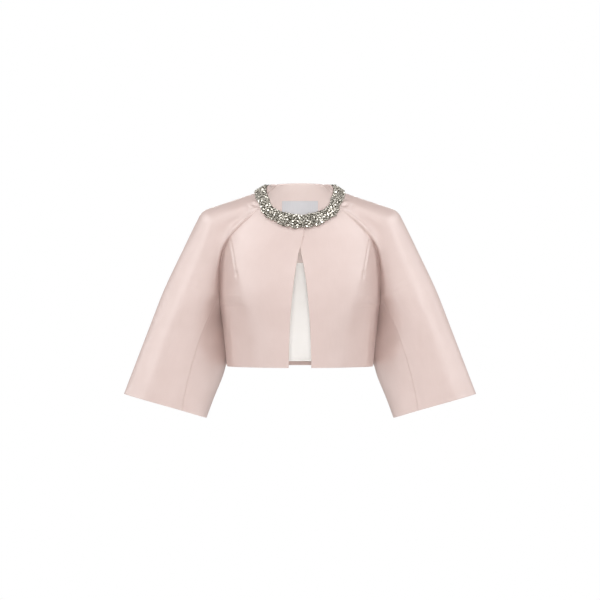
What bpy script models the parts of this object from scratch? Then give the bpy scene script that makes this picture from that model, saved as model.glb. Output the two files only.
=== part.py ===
"""Cropped cape jacket in blush satin, in its worn form with no wearer.

Raglan cape sleeves, an open front that laps at the neck, a jewelled neck band, and the facing, lining,
hem and label that show inside the back.

Metres, +Z up. The front faces -Y and +X is the wearer's left. The origin is on the shoulder line,
midway between the shoulders, where a wearer holds the jacket up. Panels are worked out for the
wearer's left and mirrored for the right.
"""

import math

import bmesh
import bpy
import numpy as np

# Cloth walls and the gaps between sewn pieces
SHELL_WALL = 0.0020
FACING_WALL = 0.0010
LINING_WALL = 0.0012
LABEL_WALL = 0.0010
BAND_WALL = 0.0040
SEAM_GAP = 0.0003
LAYER_GAP = 0.0004
BAND_GAP = 0.0010

# Neckline, an oval seen from the front, and the gap between the ends of the band round it
NECK_HALF_WIDTH = 0.0680
NECK_SIDE_HEIGHT = 0.0025
NECK_FRONT_HEIGHT = -0.0550
NECK_BACK_HEIGHT = 0.0165
BAND_END_GAP = 0.0006

# Bodice heights
SLEEVE_SEAM_HEIGHT = -0.2235
UNDERARM_HEIGHT = -0.2400
HEM_HEIGHT = -0.3707
HEM_TURN_UP = 0.0084
FACING_FOOT_HEIGHT = -0.1520

# Fronts: the lap at the neck, and how far one front lies over the other there
LAP_CROSSING_HEIGHT = -0.1240
LAP_STEP = 0.0028
LAP_FADE_HEIGHT = 0.040
LAP_HALF_WIDTH = 0.014
LAP_FADE_WIDTH = 0.034

# Label on the back neck facing
LABEL_WIDTH = 0.078
LABEL_HEIGHT = 0.036
LABEL_TOP_HEIGHT = -0.0180

# Body sections are ovals, and this exponent squares them a little: 2 is a plain ellipse
SECTION_SQUARENESS = 2.3


def flowing_slopes(places, values):
    """Slopes of the smoothest cubic curve through the values."""
    width = np.diff(places)
    steps = np.diff(values) / width
    count = len(places)
    pull, goal = np.zeros((count, count)), np.zeros(count)
    for i in range(1, count - 1):
        pull[i, i - 1 : i + 2] = 1 / width[i - 1], 2 / width[i - 1] + 2 / width[i], 1 / width[i]
        goal[i] = 3 * (steps[i - 1] / width[i - 1] + steps[i] / width[i])
    pull[0, :2], goal[0] = (2, 1), 3 * steps[0]
    pull[-1, -2:], goal[-1] = (1, 2), 3 * steps[-1]
    return np.linalg.solve(pull, goal)


def guarded_slopes(places, values):
    """Slopes of a cubic curve that never swings past the values."""
    steps = np.diff(values) / np.diff(places)
    before, after = steps[:-1], steps[1:]
    level = before * after <= 0
    middle = np.where(level, 0, 2 * before * after / np.where(level, 1, before + after))
    return np.concatenate([steps[:1], middle, steps[-1:]])


class Table:
    """Rows with named columns. The first column is the place where a row holds."""

    def __init__(self, slopes, names, *rows):
        self.columns = dict(zip(names.split(), np.array(sorted(rows), float).T))
        self.places = next(iter(self.columns.values()))
        self.slopes = {name: slopes(self.places, column) for name, column in self.columns.items()}

    def read(self, name, at):
        """Value of a column at a place, on the cubic curve through its rows."""
        places, values, slopes = self.places, self.columns[name], self.slopes[name]
        i = np.clip(np.searchsorted(places, at, side="right") - 1, 0, len(places) - 2)
        step = places[i + 1] - places[i]
        t = np.clip((at - places[i]) / step, 0, 1)
        start = (2 * t**3 - 3 * t**2 + 1) * values[i] + (t**3 - 2 * t**2 + t) * step * slopes[i]
        end = (3 * t**2 - 2 * t**3) * values[i + 1] + (t**3 - t**2) * step * slopes[i + 1]
        return start + end


# Bodice sections: half the width, and the depth at centre front, centre back and side seam
TORSO = Table(
    flowing_slopes,
    "height half_width front back side",
    (0.020, 0.058, -0.024, 0.065, 0.006),
    (-0.024, 0.114, -0.055, 0.085, 0.007),
    (-0.055, 0.146, -0.076, 0.094, 0.008),
    (-0.095, 0.169, -0.095, 0.103, 0.008),
    (-0.150, 0.1790, -0.111, 0.109, 0.008),
    (-0.2235, 0.1710, -0.120, 0.108, 0.008),
    (-0.300, 0.1605, -0.113, 0.102, 0.006),
    (-0.375, 0.1525, -0.105, 0.098, 0.005),
)

# Rows of the fronts and the back, by the stretch of outer edge that they end on:
# 0 to 1 the raglan seam, 1 to 2 the armhole's foot, 2 to 3 the side seam
BAND_FOOT = 0.11
ROWS = Table(
    guarded_slopes,
    "edge front_height back_height neck_curve",
    (0.0, NECK_FRONT_HEIGHT, NECK_BACK_HEIGHT, 0.91),
    (BAND_FOOT, -0.0810, -0.0065, 0.87),
    (0.4, -0.1250, -0.0760, 0.70),
    (0.7, -0.1730, -0.1480, 0.50),
    (1.0, -0.2220, -0.2210, 0.40),
    (2.0, -0.2470, -0.2450, 0.40),
    (3.0, HEM_HEIGHT, HEM_HEIGHT, 0.40),
)

# How far each front's edge stands from the centre line: below zero it has crossed it
FRONT_EDGE = Table(
    flowing_slopes,
    "height out",
    (NECK_FRONT_HEIGHT, -0.0105),
    (-0.085, -0.0085),
    (LAP_CROSSING_HEIGHT, 0.0),
    (-0.150, 0.0055),
    (-0.200, 0.0133),
    (-0.255, 0.0186),
    (-0.315, 0.0217),
    (HEM_HEIGHT, 0.0232),
)

# Raglan seams seen from the front or back, as cubic curves: x and z of ends and handles
RAGLAN_FRONT = ((0.0615, -0.0235), (0.1620, -0.1040), (0.1690, -0.1140), (0.1685, SLEEVE_SEAM_HEIGHT))
RAGLAN_BACK = ((0.0500, 0.0115), (0.1500, -0.0700), (0.1690, -0.1140), (0.1685, SLEEVE_SEAM_HEIGHT))

# Sleeve outline seen from the front: neck, foot of the neck, shoulder point, upper arm and cuff
OUTLINE_CORNERS = (
    (NECK_HALF_WIDTH, NECK_SIDE_HEIGHT),
    (0.0970, -0.0090),
    (0.2066, -0.0432),
    (0.2867, -0.2083),
    (0.3712, -0.4288),
)
OUTLINE_RADII = (0.0, 0.060, 0.030, 0.400, 0.0)
# Seam on the front of the sleeve, as a curve: its top, handle and foot
SLEEVE_SEAM = ((0.1685, SLEEVE_SEAM_HEIGHT), (0.2270, -0.3400), (0.2456, -0.4651))

# Sleeve stations: 0 at the neck, 1 at the top of the sleeve seam, 2 at the cuff.
# outer is the distance run along the outline, and outer_depth where the outline lies front to back.
# front_full and back_full swell the section, roundness turns a shallow arc into an oval, and closing
# carries it towards a closed tube.
SLEEVE = Table(
    guarded_slopes,
    "station outer outer_depth front_full back_full roundness closing",
    (0.0, 0.000, 0.004, 0.000, 0.000, 0.00, 0.00),
    (BAND_FOOT, 0.029, 0.005, 0.000, 0.000, 0.25, 0.00),
    (0.3, 0.080, 0.007, 0.006, 0.004, 0.75, 0.00),
    (0.5, 0.138, 0.009, 0.012, 0.010, 1.00, 0.10),
    (0.75, 0.214, 0.012, 0.021, 0.026, 1.00, 0.40),
    (0.9, 0.264, 0.014, 0.031, 0.041, 1.00, 0.62),
    (1.0, 0.300, 0.015, 0.044, 0.051, 1.00, 0.75),
    (1.25, 0.365, 0.017, 0.029, 0.034, 1.00, 0.62),
    (1.5, 0.430, 0.018, 0.021, 0.023, 1.00, 0.55),
    (2.0, 0.560, 0.019, 0.0165, 0.0165, 1.00, 0.50),
)

# Inner side of the sleeve, from the underarm to the cuff: its place, and the depths of the section.
# inner_depth tucks the sleeve's inner fold behind the side of the bodice.
SLEEVE_INSIDE = Table(
    flowing_slopes,
    "run x z inner_depth centre front_depth back_depth",
    (0.00, 0.1690, -0.2400, 0.0080, 0.0130, 0.076, 0.072),
    (0.25, 0.1605, -0.3000, 0.0420, 0.0150, 0.073, 0.072),
    (0.40, 0.1560, -0.3400, 0.0440, 0.0165, 0.071, 0.070),
    (0.50, 0.1570, -0.3660, 0.0420, 0.0170, 0.070, 0.070),
    (0.75, 0.1765, -0.4240, 0.0320, 0.0180, 0.069, 0.069),
    (1.00, 0.1972, -0.4794, 0.0220, 0.0190, 0.068, 0.068),
)
UNDERARM_EASE = 3
# The cuff is cut level from front to back at this slope, so its front is a little higher than its back
CUFF_SLOPE = 0.047

# How finely each piece is divided
FRONT_COLUMNS = 8
BACK_HALF_COLUMNS = 8
TOP_SLEEVE_COLUMNS = 16
UNDER_SLEEVE_COLUMNS = 8
RAGLAN_STEPS = 12
ARM_STEPS = 6
SIDE_STEPS = 3
LABEL_COLUMNS = 8
LABEL_ROWS = 4


# Curves and body sections


def unit(vectors):
    return vectors / np.linalg.norm(vectors, axis=-1, keepdims=True)


def bezier(t, points):
    """Curve with the given end points and handles."""
    points = [np.array(p, float) for p in points]
    t = np.asarray(t, float)[..., None]
    while len(points) > 1:
        points = [a + (b - a) * t for a, b in zip(points, points[1:])]
    return points[0]


def along(path, distance):
    """Point at a distance run along a path of many short steps."""
    run = np.concatenate([[0], np.cumsum(np.linalg.norm(np.diff(path, axis=0), axis=1))])
    return np.stack([np.interp(distance, run, column) for column in path.T], -1), run[-1]


def even_bezier(share, points):
    """Curve read by its share of length, from 0 to 1."""
    path = bezier(np.linspace(0, 1, 200), points)
    length = along(path, 0)[1]
    return along(path, np.asarray(share) * length)[0]


def rounded_path(corners, radii):
    """Straight runs between corners, with an arc of the given radius at each one."""
    corners = np.array(corners, float)
    path = [corners[0]]
    for before, corner, after, radius in zip(corners, corners[1:], corners[2:], radii[1:]):
        back = (before - corner) / np.linalg.norm(before - corner)
        on = (after - corner) / np.linalg.norm(after - corner)
        half = math.acos(np.clip(back @ on, -1, 1)) / 2
        middle = (back + on) / np.linalg.norm(back + on)
        centre = corner + middle * radius / math.sin(half)
        for turn in np.linspace(-1, 1, 25):
            angle = turn * (math.pi / 2 - half)
            across = (on - back) / np.linalg.norm(on - back)
            path.append(centre + radius * (across * math.sin(angle) - middle * math.cos(angle)))
    return np.array([*path, corners[-1]])


def torso_point(angle, height):
    """Point of the bodice. Angle 0 is centre front, a quarter turn the left side, a half turn centre back."""
    half_width, front, back, side = (TORSO.read(n, height) for n in ("half_width", "front", "back", "side"))
    across, ahead = np.sin(angle), np.cos(angle)
    power = SECTION_SQUARENESS
    reach = (np.abs(across) ** power + np.abs(ahead) ** power) ** (-1 / power)
    depth = np.where(ahead >= 0, front, back)
    y = side + (depth - side) * reach * np.abs(ahead)
    return np.stack(np.broadcast_arrays(half_width * reach * across, y, height), -1)


def torso_normal(angle, height):
    """Direction straight out of the bodice at a point of it."""
    step = 1e-4
    round_step = torso_point(angle + step, height) - torso_point(angle - step, height)
    up_step = torso_point(angle, height + step) - torso_point(angle, height - step)
    return unit(np.cross(round_step, up_step))


def torso_angle(x, height, behind):
    """Angle of the bodice point that lies at x, seen from the front, or from behind."""
    across = np.clip(x / TORSO.read("half_width", height), -1, 1)
    ahead = (1 - np.abs(across) ** SECTION_SQUARENESS) ** (1 / SECTION_SQUARENESS)
    angle = np.arctan2(across, ahead)
    return math.pi - angle if behind else angle


# Seam lines on the bodice


def raglan_place(share, behind):
    """Angle and height of the raglan seam, from the neck at 0 to the top of the sleeve seam at 1."""
    x, z = np.moveaxis(even_bezier(share, RAGLAN_BACK if behind else RAGLAN_FRONT), -1, 0)
    return torso_angle(x, z, behind), z


def armhole_foot_place(share):
    """Angle and height of the armhole's foot, from the front raglan seam at 0 to the back one at 1."""
    front, back = raglan_place(1.0, False)[0], raglan_place(1.0, True)[0]
    height = UNDERARM_HEIGHT + (SLEEVE_SEAM_HEIGHT - UNDERARM_HEIGHT) * (2 * share - 1) ** 2
    return front + (back - front) * share, height


def outer_edge_place(edge, behind):
    """Angle and height on the outer edge of a front, or of the back."""
    raglan = raglan_place(np.clip(edge, 0, 1), behind)
    foot = np.clip(edge - 1, 0, 1) / 2
    armhole = armhole_foot_place(1 - foot if behind else foot)
    side_height = UNDERARM_HEIGHT + (HEM_HEIGHT - UNDERARM_HEIGHT) * np.clip(edge - 2, 0, 1)
    side = np.full_like(side_height, math.pi / 2), side_height
    return tuple(
        np.where(edge <= 1, a, np.where(edge <= 2, b, c)) for a, b, c in zip(raglan, armhole, side)
    )


def neck_rise(across, curve):
    """Share of a row's rise from centre to outer edge, bent like the neckline's oval."""
    return (1 - np.sqrt(1 - (curve * across) ** 2)) / (1 - np.sqrt(1 - curve**2))


def fade(value, start, width):
    """1 up to start, then a soft fall to 0 over the width."""
    t = np.clip((value - start) / width, 0, 1)
    return 1 - t * t * (3 - 2 * t)


# Panels. Each takes the share across it and its row.


def front_place(across, edge):
    """Angle and height on the left front, from its edge at 0 to its outer seam at 1."""
    inner_height = ROWS.read("front_height", edge)
    inner = torso_angle(FRONT_EDGE.read("out", inner_height), inner_height, False)
    outer, outer_height = outer_edge_place(edge, False)
    rise = neck_rise(across, ROWS.read("neck_curve", edge))
    return inner + (outer - inner) * across, inner_height + (outer_height - inner_height) * rise


def back_place(across, edge):
    """Angle and height on the left half of the back, from the centre at 0 to its outer seam at 1."""
    inner_height = ROWS.read("back_height", edge)
    outer, outer_height = outer_edge_place(edge, True)
    rise = neck_rise(across, ROWS.read("neck_curve", edge))
    return math.pi + (outer - math.pi) * across, inner_height + (outer_height - inner_height) * rise


def band_end_place(across, edge):
    """Angle and height on the left front, from the band's end beside the lap at 0 to its outer seam at 1."""
    height = ROWS.read("front_height", edge)
    out = FRONT_EDGE.read("out", height)
    inner, outer = torso_angle(out, height, False), outer_edge_place(edge, False)[0]
    end = torso_angle(BAND_END_GAP - out, height, False)
    start = (end - inner) / (outer - inner)
    return front_place(start + (1 - start) * across, edge)


def label_place(across, row):
    """Angle and height of the label on the back, from side to side and top to bottom."""
    x = LABEL_WIDTH * (across - 0.5)
    height = LABEL_TOP_HEIGHT - LABEL_HEIGHT * row
    return torso_angle(x, height, True), height


def lap_share(points):
    """1 where the fronts lap at the neck, falling to 0 away from there."""
    beside = fade(np.abs(points[..., 0]), LAP_HALF_WIDTH, LAP_FADE_WIDTH)
    return beside * fade(LAP_CROSSING_HEIGHT - points[..., 2], 0, LAP_FADE_HEIGHT)


def sleeve_outer(station):
    """Outermost point of the left sleeve at a station."""
    path = rounded_path(OUTLINE_CORNERS, OUTLINE_RADII)
    length = along(path, 0)[1]
    run = SLEEVE.read("outer", station)
    run = run * length / SLEEVE.columns["outer"][-1]
    x, z = np.moveaxis(along(path, run)[0], -1, 0)
    return np.stack([x, SLEEVE.read("outer_depth", station), z], -1)


def sleeve_inner(run):
    """Innermost point of the left sleeve, from the underarm at 0 to the cuff at 1."""
    return np.stack([SLEEVE_INSIDE.read(n, run) for n in ("x", "inner_depth", "z")], -1)


def arm_seam(run, behind):
    """Seam between top and under sleeve, from the armhole at 0 to the cuff at 1."""
    x, z = np.moveaxis(bezier(run, SLEEVE_SEAM), -1, 0)
    outer, inner = sleeve_outer(1 + run), sleeve_inner(run)
    width = np.hypot(outer[..., 0] - inner[..., 0], outer[..., 2] - inner[..., 2])
    share = np.hypot(x - inner[..., 0], z - inner[..., 2]) / width
    depth = SLEEVE_INSIDE.read("back_depth" if behind else "front_depth", run)
    depth = depth * 2 * np.sqrt(np.clip(share * (1 - share), 0, 1))
    centre = SLEEVE_INSIDE.read("centre", run)
    return np.stack([x, centre + depth if behind else centre - depth, z], -1)


def cuff_tilted(points, run):
    """Sleeve points raised at the front and lowered at the back, more so towards the cuff."""
    centre = SLEEVE_INSIDE.read("centre", run)
    points[..., 2] -= CUFF_SLOPE * run**2 * (points[..., 1] - centre)
    return points


def sleeve_edge(station, behind):
    """Edge of the top sleeve: the raglan seam down to station 1, then the seam to the under sleeve."""
    run = np.clip(station - 1, 0, 1)
    raglan = torso_point(*raglan_place(np.clip(station, 0, 1), behind))
    start = torso_point(*raglan_place(1.0, behind)) - arm_seam(np.array(0.0), behind)
    seam = arm_seam(run, behind) + start * ((1 - run) ** UNDERARM_EASE)[..., None]
    return np.where((station <= 1)[..., None], raglan, seam)


def top_sleeve(across, station):
    """Left top sleeve, from its front edge at 0 over the shoulder to its back edge at 1."""
    front, back = sleeve_edge(station, False), sleeve_edge(station, True)
    names = ("front_full", "back_full", "roundness", "closing")
    front_full, back_full, roundness, closing = (SLEEVE.read(n, station) for n in names)
    turn = math.pi * across
    oval = (1 - closing) * np.sin(turn) + closing * np.sin(turn) ** 2
    reach = (1 - roundness) * 4 * across * (1 - across) + roundness * oval
    share = (1 - roundness) * across + roundness * (1 - np.cos(turn)) / 2
    outward = sleeve_outer(station) - (front + back) / 2
    point = front + (back - front) * share[..., None] + outward * reach[..., None]
    point[..., 1] -= np.where(across < 0.5, front_full, back_full) * np.sin(2 * turn)
    return cuff_tilted(point, np.clip(station - 1, 0, 1))


def under_sleeve(across, run):
    """Left under sleeve, from its front seam at 0 past the body to its back seam at 1."""

    def section(at):
        front, back = sleeve_edge(1 + at, False), sleeve_edge(1 + at, True)
        turn = math.pi * across
        share = (1 - np.cos(turn)) / 2
        inward = sleeve_inner(at) - (front + back) / 2
        return front + (back - front) * share[..., None] + inward * np.sin(turn)[..., None]

    hung = torso_point(*armhole_foot_place(across)) - section(np.zeros_like(run))
    return cuff_tilted(section(run) + hung * ((1 - run) ** UNDERARM_EASE)[..., None], run)


# Walls of cloth from panels


def lattice(rows, columns):
    """Values of column and row for every crossing of a grid."""
    return np.meshgrid(np.asarray(columns, float), np.asarray(rows, float))


class Cloth:
    """Outer face of one piece: a grid of points with the directions that its wall is measured along."""

    def __init__(self, points, normals):
        self.points, self.normals = points.copy(), normals.copy()

    def mirrored(self):
        flip = np.array([-1, 1, 1])
        return Cloth(self.points[:, ::-1] * flip, self.normals[:, ::-1] * flip)

    def part(self, rows=slice(None), columns=slice(None)):
        return Cloth(self.points[rows, columns], self.normals[rows, columns])

    def moved(self, distance):
        return Cloth(self.points + self.normals * distance, self.normals)

    def trimmed(self, gap=SEAM_GAP / 2):
        """The same grid with each edge drawn in by half a seam gap."""
        points = self.points.copy()
        for view in (points, points.swapaxes(0, 1)):
            for edge, inside in ((0, 1), (-1, -2)):
                step = view[inside] - view[edge]
                view[edge] += gap * step / np.linalg.norm(step, axis=-1, keepdims=True)
        return Cloth(points, self.normals)


def sewn(first, second):
    """Gives two edges that meet one wall direction, or parts them where the cloth turns back on itself."""
    flat = (first.normals * second.normals).sum(-1, keepdims=True) > 0.2
    shared = first.normals + second.normals
    length = np.linalg.norm(shared, axis=-1, keepdims=True)
    shared = shared / np.maximum(length, 1e-9)
    for edge in (first, second):
        edge.points[...] = np.where(flat, edge.points, edge.points - edge.normals * SEAM_GAP)
        edge.normals[...] = np.where(flat, shared, edge.normals)


class Edge:
    """One edge of a cloth, whose changes go back to that cloth."""

    def __init__(self, cloth, rows, columns):
        self.points, self.normals = cloth.points[rows, columns], cloth.normals[rows, columns]


def joined(*cloths):
    """Cloths side by side that share their end columns, as one grid."""
    points = [cloths[0].points] + [c.points[:, 1:] for c in cloths[1:]]
    normals = [cloths[0].normals] + [c.normals[:, 1:] for c in cloths[1:]]
    return Cloth(np.concatenate(points, 1), np.concatenate(normals, 1))


def wall(name, cloth, thickness, material):
    """Closed solid whose outer face is the cloth and whose inner face lies a thickness behind it."""
    rows, columns = cloth.points.shape[:2]
    mesh = bmesh.new()
    outer = [[mesh.verts.new(p) for p in row] for row in cloth.points]
    inner = [[mesh.verts.new(p) for p in row] for row in cloth.points - cloth.normals * thickness]
    for i in range(rows - 1):
        for j in range(columns - 1):
            corners = (i, j), (i, j + 1), (i + 1, j + 1), (i + 1, j)
            mesh.faces.new([outer[r][c] for r, c in corners])
            mesh.faces.new([inner[r][c] for r, c in (corners[0], *corners[:0:-1])])
    rim = [(0, j) for j in range(columns - 1)] + [(i, columns - 1) for i in range(rows - 1)]
    rim += [(rows - 1, j) for j in range(columns - 1, 0, -1)] + [(i, 0) for i in range(rows - 1, 0, -1)]
    for (r, c), (s, d) in zip(rim, rim[1:] + rim[:1]):
        mesh.faces.new((outer[s][d], outer[r][c], inner[r][c], inner[s][d]))
    bmesh.ops.triangulate(mesh, faces=mesh.faces, quad_method="FIXED")
    bmesh.ops.recalc_face_normals(mesh, faces=mesh.faces)
    data = bpy.data.meshes.new(name)
    mesh.to_mesh(data)
    mesh.free()
    data.shade_smooth()
    data.set_sharp_from_angle(angle=math.radians(40))
    data.materials.append(material)
    obj = bpy.data.objects.new(name, data)
    bpy.context.scene.collection.objects.link(obj)
    return obj


def material(name, colour, roughness, metallic=0.0):
    made = bpy.data.materials.new(name)
    made.use_nodes = True
    shader = made.node_tree.nodes["Principled BSDF"]
    shader.inputs["Base Color"].default_value = (*colour, 1)
    shader.inputs["Roughness"].default_value = roughness
    shader.inputs["Metallic"].default_value = metallic
    return made


# The jacket


def shares(count):
    return np.linspace(0, 1, count + 1)


def bodice_cloth(place, rows, columns, lap=0.0):
    """Piece that lies on the bodice. Lap moves it out over the other front, or in under it."""
    angle, height = place(*lattice(rows, columns))
    cloth = Cloth(torso_point(angle, height), torso_normal(angle, height))
    cloth.points[..., 1] -= lap * lap_share(cloth.points)
    return cloth


def sleeve_cloth(panel, rows, columns, outward):
    """Piece of the sleeve, its normals taken from small steps. Outward is -1 where they come out inside."""
    step = 1e-4
    across, row = lattice(rows, columns)
    low, high = np.clip(across - step, 0, 1), np.clip(across + step, 0, 1)
    above, below = np.clip(row - step, 0, rows[-1]), np.clip(row + step, 0, rows[-1])
    normals = np.cross(panel(high, row) - panel(low, row), panel(across, below) - panel(across, above))
    return Cloth(panel(across, row), outward * unit(normals))


BAND_ROWS = BAND_FOOT * shares(2)
RAGLAN_ROWS = np.concatenate([BAND_ROWS, (BAND_FOOT + (1 - BAND_FOOT) * shares(RAGLAN_STEPS))[1:]])
FOOT_ROWS = 1 + shares(UNDER_SLEEVE_COLUMNS // 2)[1:]
TURN_UP_ROW = 3 - HEM_TURN_UP / (UNDERARM_HEIGHT - HEM_HEIGHT)
SIDE_ROWS = np.append((2 + (TURN_UP_ROW - 2) * shares(SIDE_STEPS))[1:], 3)
BODY_ROWS = np.concatenate([RAGLAN_ROWS, FOOT_ROWS, SIDE_ROWS])
SLEEVE_ROWS = np.concatenate([RAGLAN_ROWS, (1 + shares(ARM_STEPS))[1:]])
RAGLAN_END = len(RAGLAN_ROWS) - 1
FOOT_END = RAGLAN_END + len(FOOT_ROWS)


def half_jacket(lap):
    """Front, half of the back, top sleeve and under sleeve of the left side, sewn together."""
    front = bodice_cloth(front_place, BODY_ROWS, shares(FRONT_COLUMNS), lap)
    back = bodice_cloth(back_place, BODY_ROWS, shares(BACK_HALF_COLUMNS))
    top = sleeve_cloth(top_sleeve, SLEEVE_ROWS, shares(TOP_SLEEVE_COLUMNS), -1)
    under = sleeve_cloth(under_sleeve, shares(ARM_STEPS), shares(UNDER_SLEEVE_COLUMNS), 1)
    raglan = slice(0, RAGLAN_END + 1)
    foot = slice(RAGLAN_END, FOOT_END + 1)
    side = slice(FOOT_END, None)
    arm = slice(RAGLAN_END, None)
    middle = UNDER_SLEEVE_COLUMNS // 2
    sewn(Edge(front, side, -1), Edge(back, side, -1))
    sewn(Edge(front, foot, -1), Edge(under, 0, slice(0, middle + 1)))
    sewn(Edge(back, foot, -1), Edge(under, 0, slice(None, middle - 1, -1)))
    for column, body in ((0, front), (-1, back)):
        sewn(Edge(top, arm, column), Edge(under, slice(None), column))
        sewn(Edge(body, raglan, -1), Edge(top, raglan, column))
    return front, back, top, under


def build():
    for obj in list(bpy.data.objects):
        bpy.data.objects.remove(obj)

    satin = material("blush_satin", (0.80, 0.66, 0.62), 0.38)
    facing_satin = material("blush_satin_facing", (0.76, 0.60, 0.56), 0.45)
    ivory = material("ivory_lining", (0.84, 0.81, 0.77), 0.50)
    woven_label = material("grey_label", (0.68, 0.68, 0.72), 0.55)
    crystal = material("crystal_band", (0.55, 0.53, 0.45), 0.15, 0.8)

    left_front, left_back, left_top, left_under = half_jacket(-LAP_STEP / 2)
    right_front, right_back, right_top, right_under = (c.mirrored() for c in half_jacket(LAP_STEP / 2))
    back = joined(right_back, left_back)

    for name, cloth in (
        ("front_right", right_front),
        ("front_left", left_front),
        ("back", back),
        ("sleeve_top_right", right_top),
        ("sleeve_top_left", left_top),
        ("sleeve_under_right", right_under),
        ("sleeve_under_left", left_under),
    ):
        wall(name, cloth.trimmed(), SHELL_WALL, satin)

    # The band follows the neck from the lap round the right side, the back and the left side to the lap
    rows = slice(0, len(BAND_ROWS))
    turned = slice(None, None, -1)
    band_end = bodice_cloth(band_end_place, BAND_ROWS, shares(FRONT_COLUMNS), -LAP_STEP / 2)
    band_end.normals[:, -1] = left_front.normals[rows, -1]
    band = joined(
        right_front.part(rows, turned),
        right_top.part(rows, turned),
        back.part(rows),
        left_top.part(rows, turned),
        band_end.part(columns=turned),
    )
    wall("neck_band", band.moved(BAND_GAP + BAND_WALL).trimmed(), BAND_WALL, crystal)

    # Facing, lining and turned-up hem lie inside the back, and the label inside the facing
    inside = back.moved(-SHELL_WALL - LAYER_GAP)
    facing_end = int(np.argmin(np.abs(ROWS.read("back_height", BODY_ROWS) - FACING_FOOT_HEIGHT)))
    lining_end = len(BODY_ROWS) - 2
    wall("back_neck_facing", inside.part(slice(0, facing_end + 1)).trimmed(), FACING_WALL, facing_satin)
    wall("back_lining", inside.part(slice(facing_end, lining_end + 1)).trimmed(), LINING_WALL, ivory)
    wall("back_hem_facing", inside.part(slice(lining_end, None)).trimmed(), FACING_WALL, facing_satin)
    label = bodice_cloth(label_place, shares(LABEL_ROWS), shares(LABEL_COLUMNS))
    behind_facing = SHELL_WALL + FACING_WALL + 3 * LAYER_GAP
    wall("label", label.moved(-behind_facing), LABEL_WALL, woven_label)


build()
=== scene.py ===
"""Looks of the cropped cape jacket: satin shells with their seams and folds, the inside of the back,
and the jewelled neck band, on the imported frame.

Metres, +Z up. The front faces -Y and +X is the wearer's left. Panels are worked out for the wearer's
left and mirrored for the right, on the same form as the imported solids.
"""

import math

import bpy
import numpy as np
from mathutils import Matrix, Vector


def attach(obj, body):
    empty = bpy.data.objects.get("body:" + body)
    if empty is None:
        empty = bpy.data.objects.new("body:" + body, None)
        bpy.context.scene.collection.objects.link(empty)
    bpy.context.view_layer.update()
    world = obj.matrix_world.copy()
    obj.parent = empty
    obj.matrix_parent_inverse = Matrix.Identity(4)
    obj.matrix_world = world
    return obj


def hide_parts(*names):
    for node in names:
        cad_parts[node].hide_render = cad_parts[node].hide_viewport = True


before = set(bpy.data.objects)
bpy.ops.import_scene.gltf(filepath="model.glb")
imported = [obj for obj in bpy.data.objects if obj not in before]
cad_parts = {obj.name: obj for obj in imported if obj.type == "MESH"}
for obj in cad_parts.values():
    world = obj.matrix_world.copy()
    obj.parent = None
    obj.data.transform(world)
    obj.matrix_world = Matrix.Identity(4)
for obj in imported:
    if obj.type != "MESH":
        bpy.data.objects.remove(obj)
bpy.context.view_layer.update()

MM = 0.001
# The step for taking slopes off a surface, the least length that is divided by, and how many points a
# curve and an arc are read at
SLOPE_STEP = 1e-4
TINY = 1e-12
CURVE_POINTS = 800
ARC_POINTS = 97

# Cloth walls and the gaps between sewn pieces
SHELL_WALL = 2.0 * MM
FACING_WALL = 1.0 * MM
LINING_WALL = 1.2 * MM
LABEL_WALL = 0.6 * MM
BAND_WALL = 1.2 * MM
FOLDED_GAP = 0.03 * MM
LAYER_GAP = 0.4 * MM
BAND_GAP = 1.0 * MM
BAND_PADDING = 0.2 * MM

# Neckline, an oval seen from the front, and the gap between the ends of the band round it
NECK_HALF_WIDTH = 0.0680
NECK_SIDE_HEIGHT = 0.0065
NECK_FRONT_HEIGHT = -0.0550
NECK_BACK_HEIGHT = 0.0180
BAND_END_GAP = 0.0006

# Bodice heights
SLEEVE_SEAM_HEIGHT = -0.2235
UNDERARM_HEIGHT = -0.2400
HEM_HEIGHT = -0.3707
HEM_TURN_UP = 0.0084
FACING_FOOT_HEIGHT = -0.1520

# Fronts: the lap at the neck, and how far one front lies over the other there
LAP_CROSSING_HEIGHT = -0.1240
LAP_STEP = 0.0028
LAP_FADE_HEIGHT = 0.040
LAP_HALF_WIDTH = 0.014
LAP_FADE_WIDTH = 0.034

# Label on the back neck facing
LABEL_WIDTH = 0.078
LABEL_HEIGHT = 0.036
LABEL_TOP_HEIGHT = -0.0180

# Body sections are ovals, and this exponent squares them a little: 2 is a plain ellipse
SECTION_SQUARENESS = 2.3


def flowing_slopes(places, values):
    """Slopes of the smoothest cubic curve through the values."""
    width = np.diff(places)
    steps = np.diff(values) / width
    count = len(places)
    pull, goal = np.zeros((count, count)), np.zeros(count)
    for i in range(1, count - 1):
        pull[i, i - 1 : i + 2] = 1 / width[i - 1], 2 / width[i - 1] + 2 / width[i], 1 / width[i]
        goal[i] = 3 * (steps[i - 1] / width[i - 1] + steps[i] / width[i])
    pull[0, :2], goal[0] = (2, 1), 3 * steps[0]
    pull[-1, -2:], goal[-1] = (1, 2), 3 * steps[-1]
    return np.linalg.solve(pull, goal)


def guarded_slopes(places, values):
    """Slopes of a cubic curve that never swings past the values."""
    steps = np.diff(values) / np.diff(places)
    before, after = steps[:-1], steps[1:]
    level = before * after <= 0
    middle = np.where(level, 0, 2 * before * after / np.where(level, 1, before + after))
    return np.concatenate([steps[:1], middle, steps[-1:]])


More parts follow.
